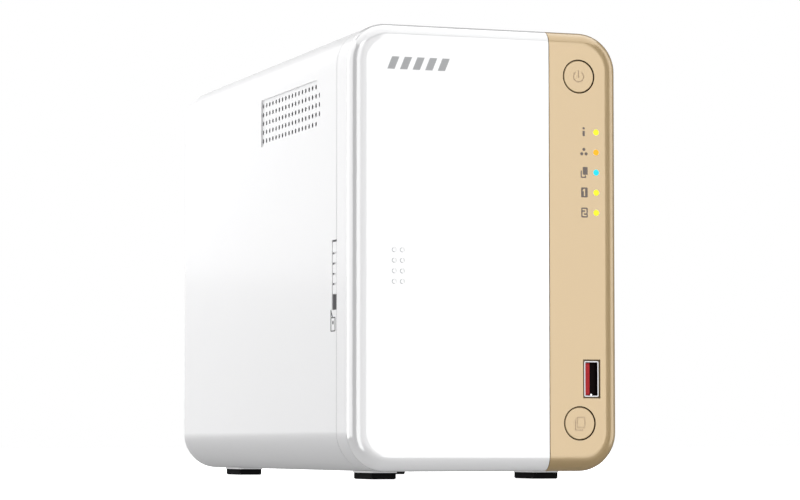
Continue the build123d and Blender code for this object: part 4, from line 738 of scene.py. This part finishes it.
def stage_floor():
    """Plain pale floor under the unit."""
    half = 6.0
    corners = [(-half, -half, 0), (half, -half, 0), (half, half, 0), (-half, half, 0)]
    mesh = bpy.data.meshes.new("floor")
    mesh.from_pydata(corners, [], [(0, 1, 2, 3)])
    obj = linked("floor", mesh)
    paper, tree, bsdf, vector = shader("floor_paper")
    speckle = noise(tree, vector, 300.0, 2.0)
    tone = mix(tree, speckle, linear(236, 236, 236), linear(244, 244, 244))
    tree.links.new(tone, bsdf.inputs["Base Color"])
    bsdf.inputs["Roughness"].default_value = 0.9
    bsdf.inputs["Specular IOR Level"].default_value = 0.0
    bsdf.inputs["Emission Color"].default_value = (1, 1, 1, 1)
    bsdf.inputs["Emission Strength"].default_value = 0.72
    obj.data.materials.append(paper)
    obj.visible_diffuse = False
    obj.visible_glossy = False
    obj.visible_shadow = False


def light(name, place, target, width, height, power, glossy):
    """Rectangular light, either a softbox seen in reflections or a fill that shades."""
    data = bpy.data.lights.new(name, "AREA")
    data.shape = "RECTANGLE"
    data.size, data.size_y = width, height
    data.energy = power
    obj = bpy.data.objects.new(name, data)
    obj.location = place
    obj.rotation_euler = (Vector(target) - Vector(place)).to_track_quat("-Z", "Y").to_euler()
    obj.visible_camera = False
    obj.visible_diffuse = not glossy
    obj.visible_glossy = glossy
    bpy.context.scene.collection.objects.link(obj)


def heading(azimuth):
    """Level direction; azimuth 0 is in front and 90 to the unit's left."""
    a = math.radians(azimuth)
    return Vector((-math.sin(a), -math.cos(a), 0))


def softbox(name, start, end, low_angle, high_angle, radiance, distance=1.6):
    """Upright box that spans a range of azimuth and elevation seen from the unit."""
    width = 2 * distance * math.tan(math.radians(end - start) / 2)
    bottom = distance * math.tan(math.radians(low_angle))
    top = distance * math.tan(math.radians(high_angle))
    height = top - bottom
    place = MIDDLE + distance * heading((start + end) / 2)
    place.z += (bottom + top) / 2
    target = Vector((MIDDLE.x, MIDDLE.y, place.z))
    light(name, place, target, width, height, radiance * math.pi * width * height, True)


def ceiling_box(name, offset_y, rise, width, length, radiance):
    """Level softbox over the unit."""
    place = MIDDLE + Vector((0, offset_y, rise))
    power = radiance * math.pi * width * length
    light(name, place, place - Vector((0, 0, 1)), width, length, power, True)


def fill(name, azimuth, elevation, level, size=1.6, distance=2.2):
    """Light that alone brings a white surface facing it to the given level."""
    e = math.radians(elevation)
    place = MIDDLE + distance * (heading(azimuth) * math.cos(e) + Vector((0, 0, math.sin(e))))
    light(name, place, MIDDLE, size, size, level * (math.pi * distance) ** 2, False)


def studio():
    """Softboxes for the reflections, fills for the shading and a white backdrop."""
    softbox("box_front_right", -31, -13, -16, 38, 3.2)
    softbox("box_front", -13, 27, -16, 38, 1.6)
    softbox("box_front_low", -44, 27, -34, -16, 0.5)
    softbox("box_left", 27, 53, -34, 45, 3.4)
    softbox("box_left_side", 84, 146, -12, 45, 2.5)
    softbox("box_left_rear", 146, 178, 3, 45, 1.3)
    softbox("box_left_low", 146, 178, -5, 3, 0.8)
    softbox("box_back", 178, 198, -4, 26, 0.6)
    softbox("box_right", -98, -66, -16, 45, 1.8)
    ceiling_box("box_top", -0.25, 1.3, 2.6, 2.0, 2.2)
    fill("fill_front", -40, 18, 0.45)
    fill("fill_left", 132, 42, 0.46, 0.6, 0.85)
    fill("fill_right", -145, 8, 0.34)
    fill("fill_top", 180, 78, 0.31)
    fill("fill_low", 112, -34, 0.3)
    fill("fill_low_front", 0, -38, 0.1)
    world = bpy.data.worlds.new("studio")
    bpy.context.scene.world = world
    world.use_nodes = True
    tree = world.node_tree
    back = tree.nodes["Background"]
    back.inputs["Color"].default_value = (1, 1, 1, 1)
    path = tree.nodes.new("ShaderNodeLightPath")
    seen = remap(tree, path.outputs["Is Camera Ray"], 0, 1, AMBIENT, 1.0)
    shine = tree.nodes.new("ShaderNodeMix")
    tree.links.new(path.outputs["Is Glossy Ray"], shine.inputs["Factor"])
    tree.links.new(seen, shine.inputs["A"])
    shine.inputs["B"].default_value = GLOSSY_AMBIENT
    tree.links.new(shine.outputs["Result"], back.inputs["Strength"])


def camera():
    """Camera in front of the unit, to its left and near the table, turned right and slightly up."""
    place = (-0.3898, -1.1176, 0.0133)
    yaw, pitch = math.radians(19.504), math.radians(3.577)
    data = bpy.data.cameras.new("camera")
    data.sensor_width = 36.0
    data.lens = 132.75
    data.shift_y = 0.011
    data.clip_start, data.clip_end = 0.05, 20.0
    obj = bpy.data.objects.new("camera", data)
    bpy.context.scene.collection.objects.link(obj)
    level = Vector((math.sin(yaw), math.cos(yaw), 0))
    forward = level * math.cos(pitch) + Vector((0, 0, math.sin(pitch)))
    right = Vector((math.cos(yaw), -math.sin(yaw), 0))
    turn = Matrix((right, right.cross(forward), -forward)).transposed()
    obj.matrix_world = Matrix.Translation(place) @ turn.to_4x4()
    bpy.context.scene.camera = obj


stage_floor()
studio()
camera()
scene = bpy.context.scene
scene.view_settings.view_transform = "Standard"
scene.view_settings.look = "None"
scene.view_settings.exposure = 0.0
